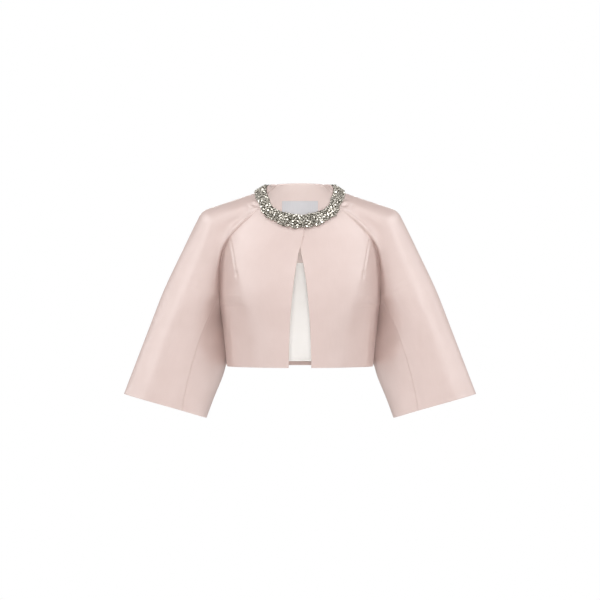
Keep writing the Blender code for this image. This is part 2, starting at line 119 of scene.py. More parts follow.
class Table:
    """Rows with named columns. The first column is the place where a row holds."""

    def __init__(self, slopes, names, *rows):
        self.columns = dict(zip(names.split(), np.array(sorted(rows), float).T))
        self.places = next(iter(self.columns.values()))
        self.slopes = {name: slopes(self.places, column) for name, column in self.columns.items()}

    def read(self, name, at):
        """Value of a column at a place, on the cubic curve through its rows."""
        places, values, slopes = self.places, self.columns[name], self.slopes[name]
        i = np.clip(np.searchsorted(places, at, side="right") - 1, 0, len(places) - 2)
        step = places[i + 1] - places[i]
        t = np.clip((at - places[i]) / step, 0, 1)
        start = (2 * t**3 - 3 * t**2 + 1) * values[i] + (t**3 - 2 * t**2 + t) * step * slopes[i]
        end = (3 * t**2 - 2 * t**3) * values[i + 1] + (t**3 - t**2) * step * slopes[i + 1]
        return start + end

    def each(self, names, at):
        """Values of several columns at a place."""
        return [self.read(name, at) for name in names.split()]


# Bodice sections: half the width, and the depth at centre front, centre back and side seam
TORSO = Table(
    flowing_slopes,
    "height half_width front back side",
    (0.020, 0.058, -0.024, 0.065, 0.006),
    (-0.024, 0.114, -0.055, 0.085, 0.007),
    (-0.055, 0.146, -0.076, 0.094, 0.008),
    (-0.095, 0.169, -0.095, 0.103, 0.008),
    (-0.150, 0.1790, -0.111, 0.109, 0.008),
    (-0.2235, 0.1710, -0.120, 0.108, 0.008),
    (-0.300, 0.1605, -0.113, 0.102, 0.006),
    (-0.375, 0.1525, -0.105, 0.098, 0.005),
)

# Where the foot of the neck band crosses the raglan seam, as a share of the seam
BAND_FOOT = 0.11
# Rows of the fronts and the back, by the stretch of outer edge that they end on:
# 0 to 1 the raglan seam, 1 to 2 the armhole's foot, 2 to 3 the side seam
ROWS = Table(
    guarded_slopes,
    "edge front_height back_height neck_curve",
    (0.0, NECK_FRONT_HEIGHT, NECK_BACK_HEIGHT, 0.91),
    (BAND_FOOT, -0.0810, -0.0065, 0.87),
    (0.4, -0.1250, -0.0760, 0.70),
    (0.7, -0.1730, -0.1480, 0.50),
    (1.0, -0.2220, -0.2210, 0.40),
    (2.0, -0.2470, -0.2450, 0.40),
    (3.0, HEM_HEIGHT, HEM_HEIGHT, 0.40),
)

# How far each front's edge stands from the centre line: below zero it has crossed it
FRONT_EDGE = Table(
    flowing_slopes,
    "height out",
    (NECK_FRONT_HEIGHT, -0.0105),
    (-0.085, -0.0085),
    (LAP_CROSSING_HEIGHT, 0.0),
    (-0.150, 0.0055),
    (-0.200, 0.0133),
    (-0.255, 0.0186),
    (-0.315, 0.0217),
    (HEM_HEIGHT, 0.0232),
)

# Raglan seams seen from the front or back, as cubic curves: x and z of ends and handles
RAGLAN_FRONT = ((0.0615, -0.0235), (0.1620, -0.1040), (0.1690, -0.1140), (0.1685, SLEEVE_SEAM_HEIGHT))
RAGLAN_BACK = ((0.0500, 0.0145), (0.1500, -0.0700), (0.1690, -0.1140), (0.1685, SLEEVE_SEAM_HEIGHT))

# Sleeve outline seen from the front: neck, foot of the neck, shoulder point, upper arm and cuff
OUTLINE_CORNERS = (
    (NECK_HALF_WIDTH, NECK_SIDE_HEIGHT),
    (0.0970, -0.0090),
    (0.2066, -0.0432),
    (0.2867, -0.2083),
    (0.3712, -0.4288),
)
OUTLINE_RADII = (0.0, 0.060, 0.030, 0.400, 0.0)
# Seam on the front of the sleeve, as a curve: its top, handle and foot
SLEEVE_SEAM = ((0.1685, SLEEVE_SEAM_HEIGHT), (0.2270, -0.3400), (0.2456, -0.4651))

# Sleeve stations: 0 at the neck, 1 at the top of the sleeve seam, 2 at the cuff.
# outer is the distance run along the outline, and outer_depth where the outline lies front to back.
# front_full and back_full swell the section, roundness turns a shallow arc into an oval, and closing
# carries it towards a closed tube.
SLEEVE = Table(
    guarded_slopes,
    "station outer outer_depth front_full back_full roundness closing",
    (0.0, 0.000, 0.004, 0.000, 0.000, 0.00, 0.00),
    (BAND_FOOT, 0.029, 0.005, 0.000, 0.000, 0.25, 0.00),
    (0.3, 0.080, 0.007, 0.006, 0.004, 0.75, 0.00),
    (0.5, 0.138, 0.009, 0.012, 0.010, 1.00, 0.10),
    (0.75, 0.214, 0.012, 0.021, 0.026, 1.00, 0.40),
    (0.9, 0.264, 0.014, 0.031, 0.041, 1.00, 0.62),
    (1.0, 0.300, 0.015, 0.044, 0.051, 1.00, 0.75),
    (1.25, 0.365, 0.017, 0.029, 0.034, 1.00, 0.62),
    (1.5, 0.430, 0.018, 0.021, 0.023, 1.00, 0.55),
    (2.0, 0.560, 0.019, 0.0165, 0.0165, 1.00, 0.50),
)

# Inner side of the sleeve, from the underarm to the cuff: its place, and the depths of the section.
# inner_depth tucks the sleeve's inner fold behind the side of the bodice.
SLEEVE_INSIDE = Table(
    flowing_slopes,
    "run x z inner_depth centre front_depth back_depth",
    (0.00, 0.1690, -0.2400, 0.0080, 0.0130, 0.076, 0.072),
    (0.25, 0.1605, -0.3000, 0.0420, 0.0150, 0.073, 0.072),
    (0.40, 0.1560, -0.3400, 0.0440, 0.0165, 0.071, 0.070),
    (0.50, 0.1570, -0.3660, 0.0420, 0.0170, 0.070, 0.070),
    (0.75, 0.1765, -0.4240, 0.0320, 0.0180, 0.069, 0.069),
    (1.00, 0.1972, -0.4794, 0.0220, 0.0190, 0.068, 0.068),
)
# The power by which the sleeve leaves the line of the armhole below the underarm
UNDERARM_EASE = 3
# The corner in the sleeve's edge at the underarm: how far it is softened, over what stretch of the
# sleeve, and the share of its width beside the seam that keeps the true corner
CORNER_SOFTNESS = 0.11
CORNER_REACH = 0.32
CORNER_SEAM = 0.10
CORNER_SAMPLES = 9
# The cuff is cut level from front to back at this slope, so its front is a little higher than its back
CUFF_SLOPE = 0.047

# Seams, in mm: how deep they pull the cloth in, how far that reaches, and the roll of cloth that
# stands beside them on the sleeve's side. Places are shares of the raglan seam, then 1 to 2 down the
# sleeve and 1 to 3 down the body.
SEAMS = Table(
    guarded_slopes,
    "place groove reach roll roll_reach",
    (0.00, 0.0, 1.6, 0.0, 4.0),
    (0.12, 0.4, 1.6, 0.5, 4.0),
    (0.25, 0.9, 1.6, 1.9, 4.5),
    (0.38, 1.0, 1.6, 2.3, 5.0),
    (0.50, 1.2, 1.8, 2.0, 5.0),
    (0.70, 1.8, 2.2, 0.9, 5.0),
    (1.00, 2.6, 3.0, 0.0, 5.0),
    (1.15, 0.8, 1.4, 0.5, 3.6),
    (2.00, 0.3, 1.0, 0.7, 3.4),
    (3.00, 0.3, 1.0, 0.7, 3.4),
)
# The hollow of the sleeve beside that roll, in mm: how deep it is, its distance from the seam, its width
HOLLOW = Table(
    guarded_slopes,
    "place deep away wide",
    (0.00, 0.0, 14.0, 12.0),
    (0.12, 0.5, 14.0, 12.0),
    (0.25, 5.0, 15.0, 12.0),
    (0.36, 9.5, 18.0, 14.0),
    (0.46, 8.0, 21.0, 17.0),
    (0.60, 2.5, 22.0, 18.0),
    (0.75, 0.0, 22.0, 18.0),
    (3.00, 0.0, 22.0, 18.0),
)
# It begins over this distance from the seam
HOLLOW_START = 8 * MM
# Below the dart's head the front raglan seam lies back in the crook of the arm, and below it the seam
# down the sleeve does, in mm: how far, and over what stretch of the top sleeve. Round the armhole's foot
# and across the under sleeve this dies away over a share of the width.
SETBACK = Table(
    guarded_slopes,
    "place back sleeve_reach",
    (0.00, 0.0, 2.5),
    (0.45, 0.0, 2.5),
    (0.52, 4.5, 2.5),
    (0.60, 9.0, 3.0),
    (0.70, 13.5, 3.4),
    (0.80, 15.0, 5.0),
    (0.90, 14.0, 9.0),
    (1.00, 11.0, 15.0),
    (1.20, 11.5, 40.0),
    (1.45, 13.5, 56.0),
    (1.75, 13.5, 62.0),
    (2.00, 11.0, 64.0),
)
SETBACK_FOOT = 0.45
# Finished edges are rounded over this stretch, down to this wall
EDGE_ROUND = 1.0 * MM
EDGE_THINNEST = 0.3 * MM

# Soft folds seen from the front, on the wearer's left, in mm: the line by its start, middle and end,
# how wide it is, how far it stands out (below 0 it is a trough), and the share of its length over
# which it comes up and dies away. Each stands on the right side too, at a share of the height.
FOLD_COLUMNS = "x0 z0 x1 z1 x2 z2 wide high rise fall other_side"
FRONT_FOLDS = (
    (87, -34, 96, -32.5, 110, -31, 2.8, -2.6, 0.05, 0.7, 0.9),
    (87, -39.5, 97, -42, 113, -46, 4.0, 2.0, 0.05, 0.7, 1.0),
    (90, -27, 98, -26, 109, -25, 3.2, 1.0, 0.05, 0.8, 0.9),
    (90, -20, 99, -20, 113, -22, 4.0, -1.2, 0.05, 0.7, 1.0),
    (102, -32, 118, -42, 138, -58, 9.0, -2.0, 0.2, 0.5, 0.95),
    (176, -40, 230, -185, 292, -330, 24.0, 2.0, 0.1, 0.5, 1.0),
    (236, -240, 272, -340, 296, -436, 18.0, -0.6, 0.35, 0.1, 0.9),
    (262, -290, 288, -370, 309, -436, 15.0, 0.5, 0.4, 0.1, 1.1),
    (286, -300, 322, -380, 343, -436, 13.0, -0.6, 0.4, 0.1, 0.9),
    (112, -235, 104, -300, 96, -372, 16.0, 0.5, 0.3, 0.1, 1.0),
    (84, -290, 80, -330, 74, -372, 9.0, -0.6, 0.5, 0.1, 1.0),
    (146, -250, 143, -310, 138, -372, 7.0, 0.9, 0.4, 0.1, 1.0),
)
# The flank of each front turns away behind a line that runs down the dart and on to the hem, in mm:
# the line's place, how soft the turn is, and below the armhole how far the cloth falls back behind the
# line and at what distance from it. Above, the seam's setback says how far.
FLANK = Table(
    guarded_slopes,
    "height out soft fall reach",
    (-0.375, 74, 20.0, 19.0, 58.0),
    (-0.315, 82, 14.0, 20.0, 54.0),
    (-0.2625, 102, 8.0, 16.0, 42.0),
    (-0.231, 115, 5.0, 12.0, 34.0),
    (-0.210, 121, 3.0, 8.0, 28.0),
    (-0.168, 130.5, 1.4, 8.0, 28.0),
    (-0.132, 138.5, 1.2, 8.0, 28.0),
    (-0.103, 145.5, 1.2, 8.0, 28.0),
)
# The least width that the flank is taken to have
FLANK_NARROWEST = 6 * MM
# Stands for the place of the line on rows that never cross it: farther than any front is wide
NO_CROSSING = 1.0
# Beside the seam at its outer edge the flank comes back to the form over this stretch
FLANK_SEAM_EASE = 18 * MM
# The dart, sewn from the raglan seam to below the bust: a line pulled in, a ridge beside it, and
# a soft dimple at its foot
DARTS = (
    (145, -103, 137, -142, 130.5, -186, 1.5, -1.7, 0.02, 0.12, 1.0),
    (149, -106, 141.5, -142, 133.5, -184, 2.6, 1.0, 0.1, 0.3, 1.0),
    (133, -168, 131, -181, 130, -194, 3.4, -1.9, 0.3, 0.5, 1.0),
)
# The left front is pressed in along the edge of the front that laps over it
LAP_LINES = ((9.6, -62, 7.6, -90, 4.0, -112, 1.4, -2.3, 0.05, 0.4, 0.0),)
# Soft folds seen from behind, on the wearer's left
BACK_FOLDS = (
    (84, -22, 100, -40, 124, -62, 6.0, -2.0, 0.1, 0.7, 0.9),
    (92, -10, 108, -24, 134, -40, 5.0, -1.7, 0.1, 0.7, 1.0),
    (112, -40, 138, -62, 164, -96, 14.0, -3.2, 0.25, 0.5, 0.9),
    (200, -66, 240, -190, 300, -340, 20.0, 2.2, 0.2, 0.5, 0.9),
    (206, -210, 252, -320, 286, -440, 15.0, -2.8, 0.35, 0.1, 1.1),
    (246, -280, 282, -370, 312, -440, 12.0, 1.9, 0.4, 0.1, 0.9),
    (150, -180, 118, -230, 60, -262, 13.0, -2.2, 0.2, 0.7, 0.8),
    (156, -226, 128, -262, 92, -300, 9.0, -1.8, 0.15, 0.7, 1.1),
    (96, -140, 92, -250, 84, -372, 16.0, 1.9, 0.4, 0.1, 0.9),
    (58, -190, 54, -290, 52, -372, 12.0, -1.8, 0.5, 0.1, 1.1),
    (22, -230, 24, -300, 24, -372, 11.0, 1.2, 0.5, 0.1, 0.7),
    (126, -270, 122, -320, 118, -372, 9.0, 1.6, 0.4, 0.1, 1.0),
)

# How finely each piece is divided: full steps of a stretch, and the short steps beside an edge
EDGE_SHARES = (0.0, 0.0012, 0.0030, 0.0060, 0.0110, 0.0180)
RAGLAN_STEPS = 130
FOOT_STEPS = 22
SIDE_STEPS = 64
ARM_STEPS = 74
FRONT_STEPS = 96
BACK_STEPS = 56
TOP_SLEEVE_STEPS = 96
BAND_STEPS = 14
HEM_STEPS = 4
LABEL_STEPS = 40
# One point in so many is enough to lay fold lines on
THINNED = 2


# Curves and body sections


def unit(vectors):
    """Vectors of length 1 that point the same way."""
    return vectors / np.maximum(np.linalg.norm(vectors, axis=-1, keepdims=True), TINY)


def bell(distance, width):
    """1 at no distance, falling away on both sides over the width."""
    return np.exp(-((distance / width) ** 2))


def fade(value, start, width):
    """1 up to start, then a soft fall to 0 over the width."""
    t = np.clip((value - start) / width, 0, 1)
    return 1 - t * t * (3 - 2 * t)


def bezier(t, points):
    """Curve with the given end points and handles."""
    points = [np.array(p, float) for p in points]
    t = np.asarray(t, float)[..., None]
    while len(points) > 1:
        points = [a + (b - a) * t for a, b in zip(points, points[1:])]
    return points[0]


def along(path, distance):
    """Point at a distance run along a path of many short steps."""
    run = np.concatenate([[0], np.cumsum(np.linalg.norm(np.diff(path, axis=0), axis=1))])
    return np.stack([np.interp(distance, run, column) for column in path.T], -1), run[-1]


def even_bezier(share, points):
    """Curve read by its share of length, from 0 to 1."""
    path = bezier(np.linspace(0, 1, CURVE_POINTS), points)
    length = along(path, 0)[1]
    return along(path, np.asarray(share) * length)[0]


def rounded_path(corners, radii):
    """Straight runs between corners, with an arc of the given radius at each one."""
    corners = np.array(corners, float)
    path = [corners[0]]
    for before, corner, after, radius in zip(corners, corners[1:], corners[2:], radii[1:]):
        back, on = unit(before - corner), unit(after - corner)
        middle, across = unit(back + on), unit(on - back)
        half = math.acos(np.clip(back @ on, -1, 1)) / 2
        centre = corner + middle * radius / math.sin(half)
        for turn in np.linspace(-1, 1, ARC_POINTS):
            angle = turn * (math.pi / 2 - half)
            path.append(centre + radius * (across * math.sin(angle) - middle * math.cos(angle)))
    return np.array([*path, corners[-1]])


def torso_point(angle, height):
    """Point of the bodice. Angle 0 is centre front, a quarter turn left side, a half turn centre back."""
    half_width, front, back, side = TORSO.each("half_width front back side", height)
    across, ahead = np.sin(angle), np.cos(angle)
    power = SECTION_SQUARENESS
    reach = (np.abs(across) ** power + np.abs(ahead) ** power) ** (-1 / power)
    depth = np.where(ahead >= 0, front, back)
    y = side + (depth - side) * reach * np.abs(ahead)
    return np.stack(np.broadcast_arrays(half_width * reach * across, y, height), -1)


def torso_normal(angle, height):
    """Direction straight out of the bodice at a point of it."""
    step = SLOPE_STEP
    round_step = torso_point(angle + step, height) - torso_point(angle - step, height)
    up_step = torso_point(angle, height + step) - torso_point(angle, height - step)
    return unit(np.cross(round_step, up_step))


def torso_angle(x, height, behind):
    """Angle of the bodice point that lies at x, seen from the front, or from behind."""
    across = np.clip(x / TORSO.read("half_width", height), -1, 1)
    ahead = (1 - np.abs(across) ** SECTION_SQUARENESS) ** (1 / SECTION_SQUARENESS)
    angle = np.arctan2(across, ahead)
    return math.pi - angle if behind else angle


# Seam lines on the bodice


def raglan_place(share, behind):
    """Angle and height of the raglan seam, from the neck at 0 to the top of the sleeve seam at 1."""
    x, z = np.moveaxis(even_bezier(share, RAGLAN_BACK if behind else RAGLAN_FRONT), -1, 0)
    return torso_angle(x, z, behind), z


def armhole_foot_place(share):
    """Angle and height of the armhole's foot, from the front raglan seam at 0 to the back one at 1."""
    front, back = raglan_place(1.0, False)[0], raglan_place(1.0, True)[0]
    height = UNDERARM_HEIGHT + (SLEEVE_SEAM_HEIGHT - UNDERARM_HEIGHT) * (2 * share - 1) ** 2
    return front + (back - front) * share, height


def outer_edge_place(edge, behind):
    """Angle and height on the outer edge of a front, or of the back."""
    raglan = raglan_place(np.clip(edge, 0, 1), behind)
    foot = np.clip(edge - 1, 0, 1) / 2
    armhole = armhole_foot_place(1 - foot if behind else foot)
    side_height = UNDERARM_HEIGHT + (HEM_HEIGHT - UNDERARM_HEIGHT) * np.clip(edge - 2, 0, 1)
    side = np.full_like(side_height, math.pi / 2), side_height
    return tuple(
        np.where(edge <= 1, a, np.where(edge <= 2, b, c)) for a, b, c in zip(raglan, armhole, side)
    )


def neck_rise(across, curve):
    """Share of a row's rise from centre to outer edge, bent like the neckline's oval."""
    return (1 - np.sqrt(1 - (curve * across) ** 2)) / (1 - np.sqrt(1 - curve**2))


# Panels. Each takes the share across it and its row.


def front_place(across, edge):
    """Angle and height on the left front, from its edge at 0 to its outer seam at 1."""
    inner_height = ROWS.read("front_height", edge)
    inner = torso_angle(FRONT_EDGE.read("out", inner_height), inner_height, False)
    outer, outer_height = outer_edge_place(edge, False)
    rise = neck_rise(across, ROWS.read("neck_curve", edge))
    return inner + (outer - inner) * across, inner_height + (outer_height - inner_height) * rise


def back_place(across, edge):
    """Angle and height on the left half of the back, from the centre at 0 to its outer seam at 1."""
    inner_height = ROWS.read("back_height", edge)
    outer, outer_height = outer_edge_place(edge, True)
    rise = neck_rise(across, ROWS.read("neck_curve", edge))
    return math.pi + (outer - math.pi) * across, inner_height + (outer_height - inner_height) * rise


def band_end_place(across, edge):
    """Angle and height on the left front, from the band's end at the lap at 0 to its outer seam at 1."""
    height = ROWS.read("front_height", edge)
    out = FRONT_EDGE.read("out", height)
    inner, outer = torso_angle(out, height, False), outer_edge_place(edge, False)[0]
    end = torso_angle(BAND_END_GAP - out, height, False)
    start = (end - inner) / (outer - inner)
    return front_place(start + (1 - start) * across, edge)


def label_place(across, row):
    """Angle and height of the label on the back, from side to side and top to bottom."""
    x = LABEL_WIDTH * (across - 0.5)
    height = LABEL_TOP_HEIGHT - LABEL_HEIGHT * row
    return torso_angle(x, height, True), height


def lap_share(points):
    """1 where the fronts lap at the neck, falling to 0 away from there."""
    beside = fade(np.abs(points[..., 0]), LAP_HALF_WIDTH, LAP_FADE_WIDTH)
    return beside * fade(LAP_CROSSING_HEIGHT - points[..., 2], 0, LAP_FADE_HEIGHT)


SLEEVE_OUTLINE = rounded_path(OUTLINE_CORNERS, OUTLINE_RADII)
OUTLINE_LENGTH = along(SLEEVE_OUTLINE, 0)[1]


def sleeve_outer(station):
    """Outermost point of the left sleeve at a station."""
    run, depth = SLEEVE.each("outer outer_depth", station)
    run = run * OUTLINE_LENGTH / SLEEVE.columns["outer"][-1]
    x, z = np.moveaxis(along(SLEEVE_OUTLINE, run)[0], -1, 0)
    return np.stack([x, depth, z], -1)


def sleeve_inner(run):
    """Innermost point of the left sleeve, from the underarm at 0 to the cuff at 1."""
    return np.stack(SLEEVE_INSIDE.each("x inner_depth z", run), -1)


def arm_seam(run, behind):
    """Seam between top and under sleeve, from the armhole at 0 to the cuff at 1."""
    x, z = np.moveaxis(bezier(run, SLEEVE_SEAM), -1, 0)
    outer, inner = sleeve_outer(1 + run), sleeve_inner(run)
    width = np.hypot(outer[..., 0] - inner[..., 0], outer[..., 2] - inner[..., 2])
    share = np.hypot(x - inner[..., 0], z - inner[..., 2]) / width
    depth = SLEEVE_INSIDE.read("back_depth" if behind else "front_depth", run)
    depth = depth * 2 * np.sqrt(np.clip(share * (1 - share), 0, 1))
    centre = SLEEVE_INSIDE.read("centre", run)
    return np.stack([x, centre + depth if behind else centre - depth, z], -1)


def cuff_tilted(points, run):
    """Sleeve points raised at the front and lowered at the back, more so towards the cuff."""
    centre = SLEEVE_INSIDE.read("centre", run)
    points[..., 2] -= CUFF_SLOPE * run**2 * (points[..., 1] - centre)
    return points


def sleeve_edge(station, behind):
    """Edge of the top sleeve: the raglan seam down to station 1, then the seam to the under sleeve."""
    run = np.clip(station - 1, 0, 1)
    raglan = torso_point(*raglan_place(np.clip(station, 0, 1), behind))
    start = torso_point(*raglan_place(1.0, behind)) - arm_seam(np.array(0.0), behind)
    seam = arm_seam(run, behind) + start * ((1 - run) ** UNDERARM_EASE)[..., None]
    return np.where((station <= 1)[..., None], raglan, seam)


EDGE_LINE_POINTS = 2001
EDGE_STATIONS = np.linspace(0, 2, EDGE_LINE_POINTS)
EDGE_LINES = {behind: sleeve_edge(EDGE_STATIONS, behind) for behind in (False, True)}


def edge_line(station, behind):
    """Edge of the top sleeve, read off a fine line."""
    return np.stack([np.interp(station, EDGE_STATIONS, c) for c in EDGE_LINES[behind].T], -1)


def top_sleeve(across, station):
    """Left top sleeve, from its front edge at 0 over the shoulder to its back edge at 1."""
    front, back = edge_line(station, False), edge_line(station, True)
    names = "front_full back_full roundness closing"
    front_full, back_full, roundness, closing = SLEEVE.each(names, station)
    turn = math.pi * across
    oval = (1 - closing) * np.sin(turn) + closing * np.sin(turn) ** 2
    reach = (1 - roundness) * 4 * across * (1 - across) + roundness * oval
    share = (1 - roundness) * across + roundness * (1 - np.cos(turn)) / 2
    outward = sleeve_outer(station) - (front + back) / 2
    point = front + (back - front) * share[..., None] + outward * reach[..., None]
    point[..., 1] -= np.where(across < 0.5, front_full, back_full) * np.sin(2 * turn)
    return cuff_tilted(point, np.clip(station - 1, 0, 1))


def soft_top_sleeve(across, station):
    """Left top sleeve with the corner of its edges at the underarm smoothed out of the cloth between."""
    window = CORNER_SOFTNESS * np.linspace(-2, 2, CORNER_SAMPLES)
    weights = bell(window, CORNER_SOFTNESS)
    soft = sum(w * top_sleeve(across, np.clip(station + s, 0, 2)) for w, s in zip(weights, window))
    away = (1 - bell(across, CORNER_SEAM)) * (1 - bell(1 - across, CORNER_SEAM))
    share = away * bell(station - 1, CORNER_REACH)
    sharp = top_sleeve(across, station)
    return sharp + (soft / weights.sum() - sharp) * share[..., None]


def under_sleeve(across, run):
    """Left under sleeve, from its front seam at 0 past the body to its back seam at 1."""

    def section(at):
        front, back = edge_line(1 + at, False), edge_line(1 + at, True)
        turn = math.pi * across
        share = (1 - np.cos(turn)) / 2
        inward = sleeve_inner(at) - (front + back) / 2
        return front + (back - front) * share[..., None] + inward * np.sin(turn)[..., None]

    hung = torso_point(*armhole_foot_place(across)) - section(np.zeros_like(run))
    return cuff_tilted(section(run) + hung * ((1 - run) ** UNDERARM_EASE)[..., None], run)


# Grids of cloth


def shares(count):
    """Shares from 0 to 1 in even steps."""
    return np.linspace(0, 1, count + 1)


def graded(count, start=True, end=True):
    """Shares from 0 to 1 with short steps beside the ends that are named."""
    first, last = EDGE_SHARES[:-1] if start else (), EDGE_SHARES[:-1] if end else ()
    low, high = EDGE_SHARES[-1] if start else 0, 1 - (EDGE_SHARES[-1] if end else 0)
    return np.concatenate([first, np.linspace(low, high, count + 1), 1 - np.array(last[::-1])])


def runs(points):
    """Distance run along each grid line to every point, from the first row and from the first column."""
    down = np.linalg.norm(np.diff(points, axis=0), axis=-1)
    over = np.linalg.norm(np.diff(points, axis=1), axis=-1)
    down = np.concatenate([np.zeros_like(down[:1]), np.cumsum(down, 0)])
    over = np.concatenate([np.zeros_like(over[:, :1]), np.cumsum(over, 1)], 1)
    return down, over


class Cloth:
    """Outer face of one piece: a grid of points with the directions that its wall is measured along."""

    def __init__(self, points, normals):
        self.points, self.normals = points.copy(), normals.copy()

    def mirrored(self):
        flip = np.array([-1, 1, 1])
        return Cloth(self.points[:, ::-1] * flip, self.normals[:, ::-1] * flip)

    def part(self, rows=slice(None), columns=slice(None)):
        return Cloth(self.points[rows, columns], self.normals[rows, columns])

    def moved(self, distance):
        distance = np.asarray(distance)[..., None]
        return Cloth(self.points + self.normals * distance, self.normals)

    def ends(self):
        """Distance of every point to the first and last row and the first and last column."""
        down, over = runs(self.points)
        return down, down[-1] - down, over, over[:, -1:] - over

    def sides(self):
        """Distance of every point to the first and last column."""
        return self.ends()[2:]


# How far the wall directions at a seam agree, as cosines. Above the first figure the two edges are sewn
# flat. Above the second the seam has a groove, which is whole when they agree by the third more. The last
# is the distance over which a shared direction eases into the cloth.
FLAT_ENOUGH = 0.2
GROOVE_FROM = 0.3
GROOVE_OVER = 0.5
NORMAL_EASE = 7 * MM


class Edge:
    """One edge of a cloth, whose changes go back to that cloth."""

    def __init__(self, cloth, rows, columns):
        self.points, self.normals = cloth.points[rows, columns], cloth.normals[rows, columns]


def sewn(first, second):
    """Gives two edges that meet one wall direction, or parts them where the cloth turns back on itself."""
    flat = (first.normals * second.normals).sum(-1, keepdims=True) > FLAT_ENOUGH
    shared = unit(first.normals + second.normals)
    for edge in (first, second):
        edge.points[...] = np.where(flat, edge.points, edge.points - edge.normals * FOLDED_GAP)
        edge.normals[...] = np.where(flat, shared, edge.normals)


def eased(cloth, own):
    """Carries the change of wall direction at sewn edges a little way into the cloth."""
    top, bottom, start, end = (bell(d, NORMAL_EASE)[..., None] for d in cloth.ends())
    change = cloth.normals - own
    spread = change[:, :1] * start + change[:, -1:] * end
    spread[1:-1, 1:-1] += (change[:1] * top + change[-1:] * bottom)[1:-1, 1:-1]
    spread[:, 0], spread[:, -1] = change[:, 0], change[:, -1]
    spread[0], spread[-1] = change[0], change[-1]
    cloth.normals[...] = unit(own + spread)


def joined(*cloths):
    """Cloths side by side that share their end columns, as one grid."""
    points = [cloths[0].points] + [c.points[:, 1:] for c in cloths[1:]]
    normals = [cloths[0].normals] + [c.normals[:, 1:] for c in cloths[1:]]
    return Cloth(np.concatenate(points, 1), np.concatenate(normals, 1))


def lattice(rows, columns):
    """Values of column and row for every crossing of a grid."""
    return np.meshgrid(np.asarray(columns, float), np.asarray(rows, float))


def bodice_cloth(place, rows, columns, lap=0.0):
    """Piece that lies on the bodice. Lap moves it out over the other front, or in under it."""
    angle, height = place(*lattice(rows, columns))
    cloth = Cloth(torso_point(angle, height), torso_normal(angle, height))
    cloth.points[..., 1] -= lap * lap_share(cloth.points)
    return cloth


def sleeve_cloth(panel, rows, columns, outward):
    """Piece of the sleeve, its normals taken from small steps. Outward is -1 where they come out inside."""
    step = SLOPE_STEP
    across, row = lattice(rows, columns)
    low, high = np.clip(across - step, 0, 1), np.clip(across + step, 0, 1)
    above, below = np.clip(row - step, 0, rows[-1]), np.clip(row + step, 0, rows[-1])
    normals = np.cross(panel(high, row) - panel(low, row), panel(across, below) - panel(across, above))
    return Cloth(panel(across, row), outward * unit(normals))


BAND_ROWS = np.concatenate([EDGE_SHARES[:-1], np.linspace(EDGE_SHARES[-1], BAND_FOOT, BAND_STEPS + 1)])
RAGLAN_ROWS = np.concatenate([BAND_ROWS, np.linspace(BAND_FOOT, 1, RAGLAN_STEPS + 1)[1:]])
UNDER_COLUMNS = graded(2 * FOOT_STEPS)
FOOT_ROWS = 1 + 2 * UNDER_COLUMNS[1 : len(UNDER_COLUMNS) // 2 + 1]
TURN_UP_ROW = 3 - HEM_TURN_UP / (UNDERARM_HEIGHT - HEM_HEIGHT)
HEM_ROWS = 3 - (3 - TURN_UP_ROW) * graded(HEM_STEPS)[::-1]
SIDE_ROWS = np.concatenate([(2 + (TURN_UP_ROW - 2) * shares(SIDE_STEPS))[1:], HEM_ROWS[1:]])
BODY_ROWS = np.concatenate([RAGLAN_ROWS, FOOT_ROWS, SIDE_ROWS])
ARM_ROWS = graded(ARM_STEPS, start=False)
SLEEVE_ROWS = np.concatenate([RAGLAN_ROWS, 1 + ARM_ROWS[1:]])
RAGLAN_END = len(RAGLAN_ROWS) - 1
FOOT_END = RAGLAN_END + len(FOOT_ROWS)
FRONT_COLUMNS = graded(FRONT_STEPS)
BACK_COLUMNS = graded(BACK_STEPS, start=False)
TOP_COLUMNS = graded(TOP_SLEEVE_STEPS)


# The raglan seam's groove dies away from the first share of it on. Below it the other seams begin over
# shares of the sleeve and of the side.
RAGLAN_SEAM_END = 0.80
ARM_SEAM_START = 0.06
SIDE_SEAM_START = 0.08
ARM_FLATNESS = 1 - bell(ARM_ROWS, ARM_SEAM_START)
SIDE_FLATNESS = 1 - bell(SIDE_ROWS - 2, SIDE_SEAM_START)


def raglan_flatness(body, top):
    """1 where body and sleeve lie flat at the raglan seam, and 0 where the cloth turns back on itself."""
    flat = np.clip(((body.normals * top.normals).sum(-1) - GROOVE_FROM) / GROOVE_OVER, 0, 1)
    return flat * fade(RAGLAN_ROWS, RAGLAN_SEAM_END, 1 - RAGLAN_SEAM_END)


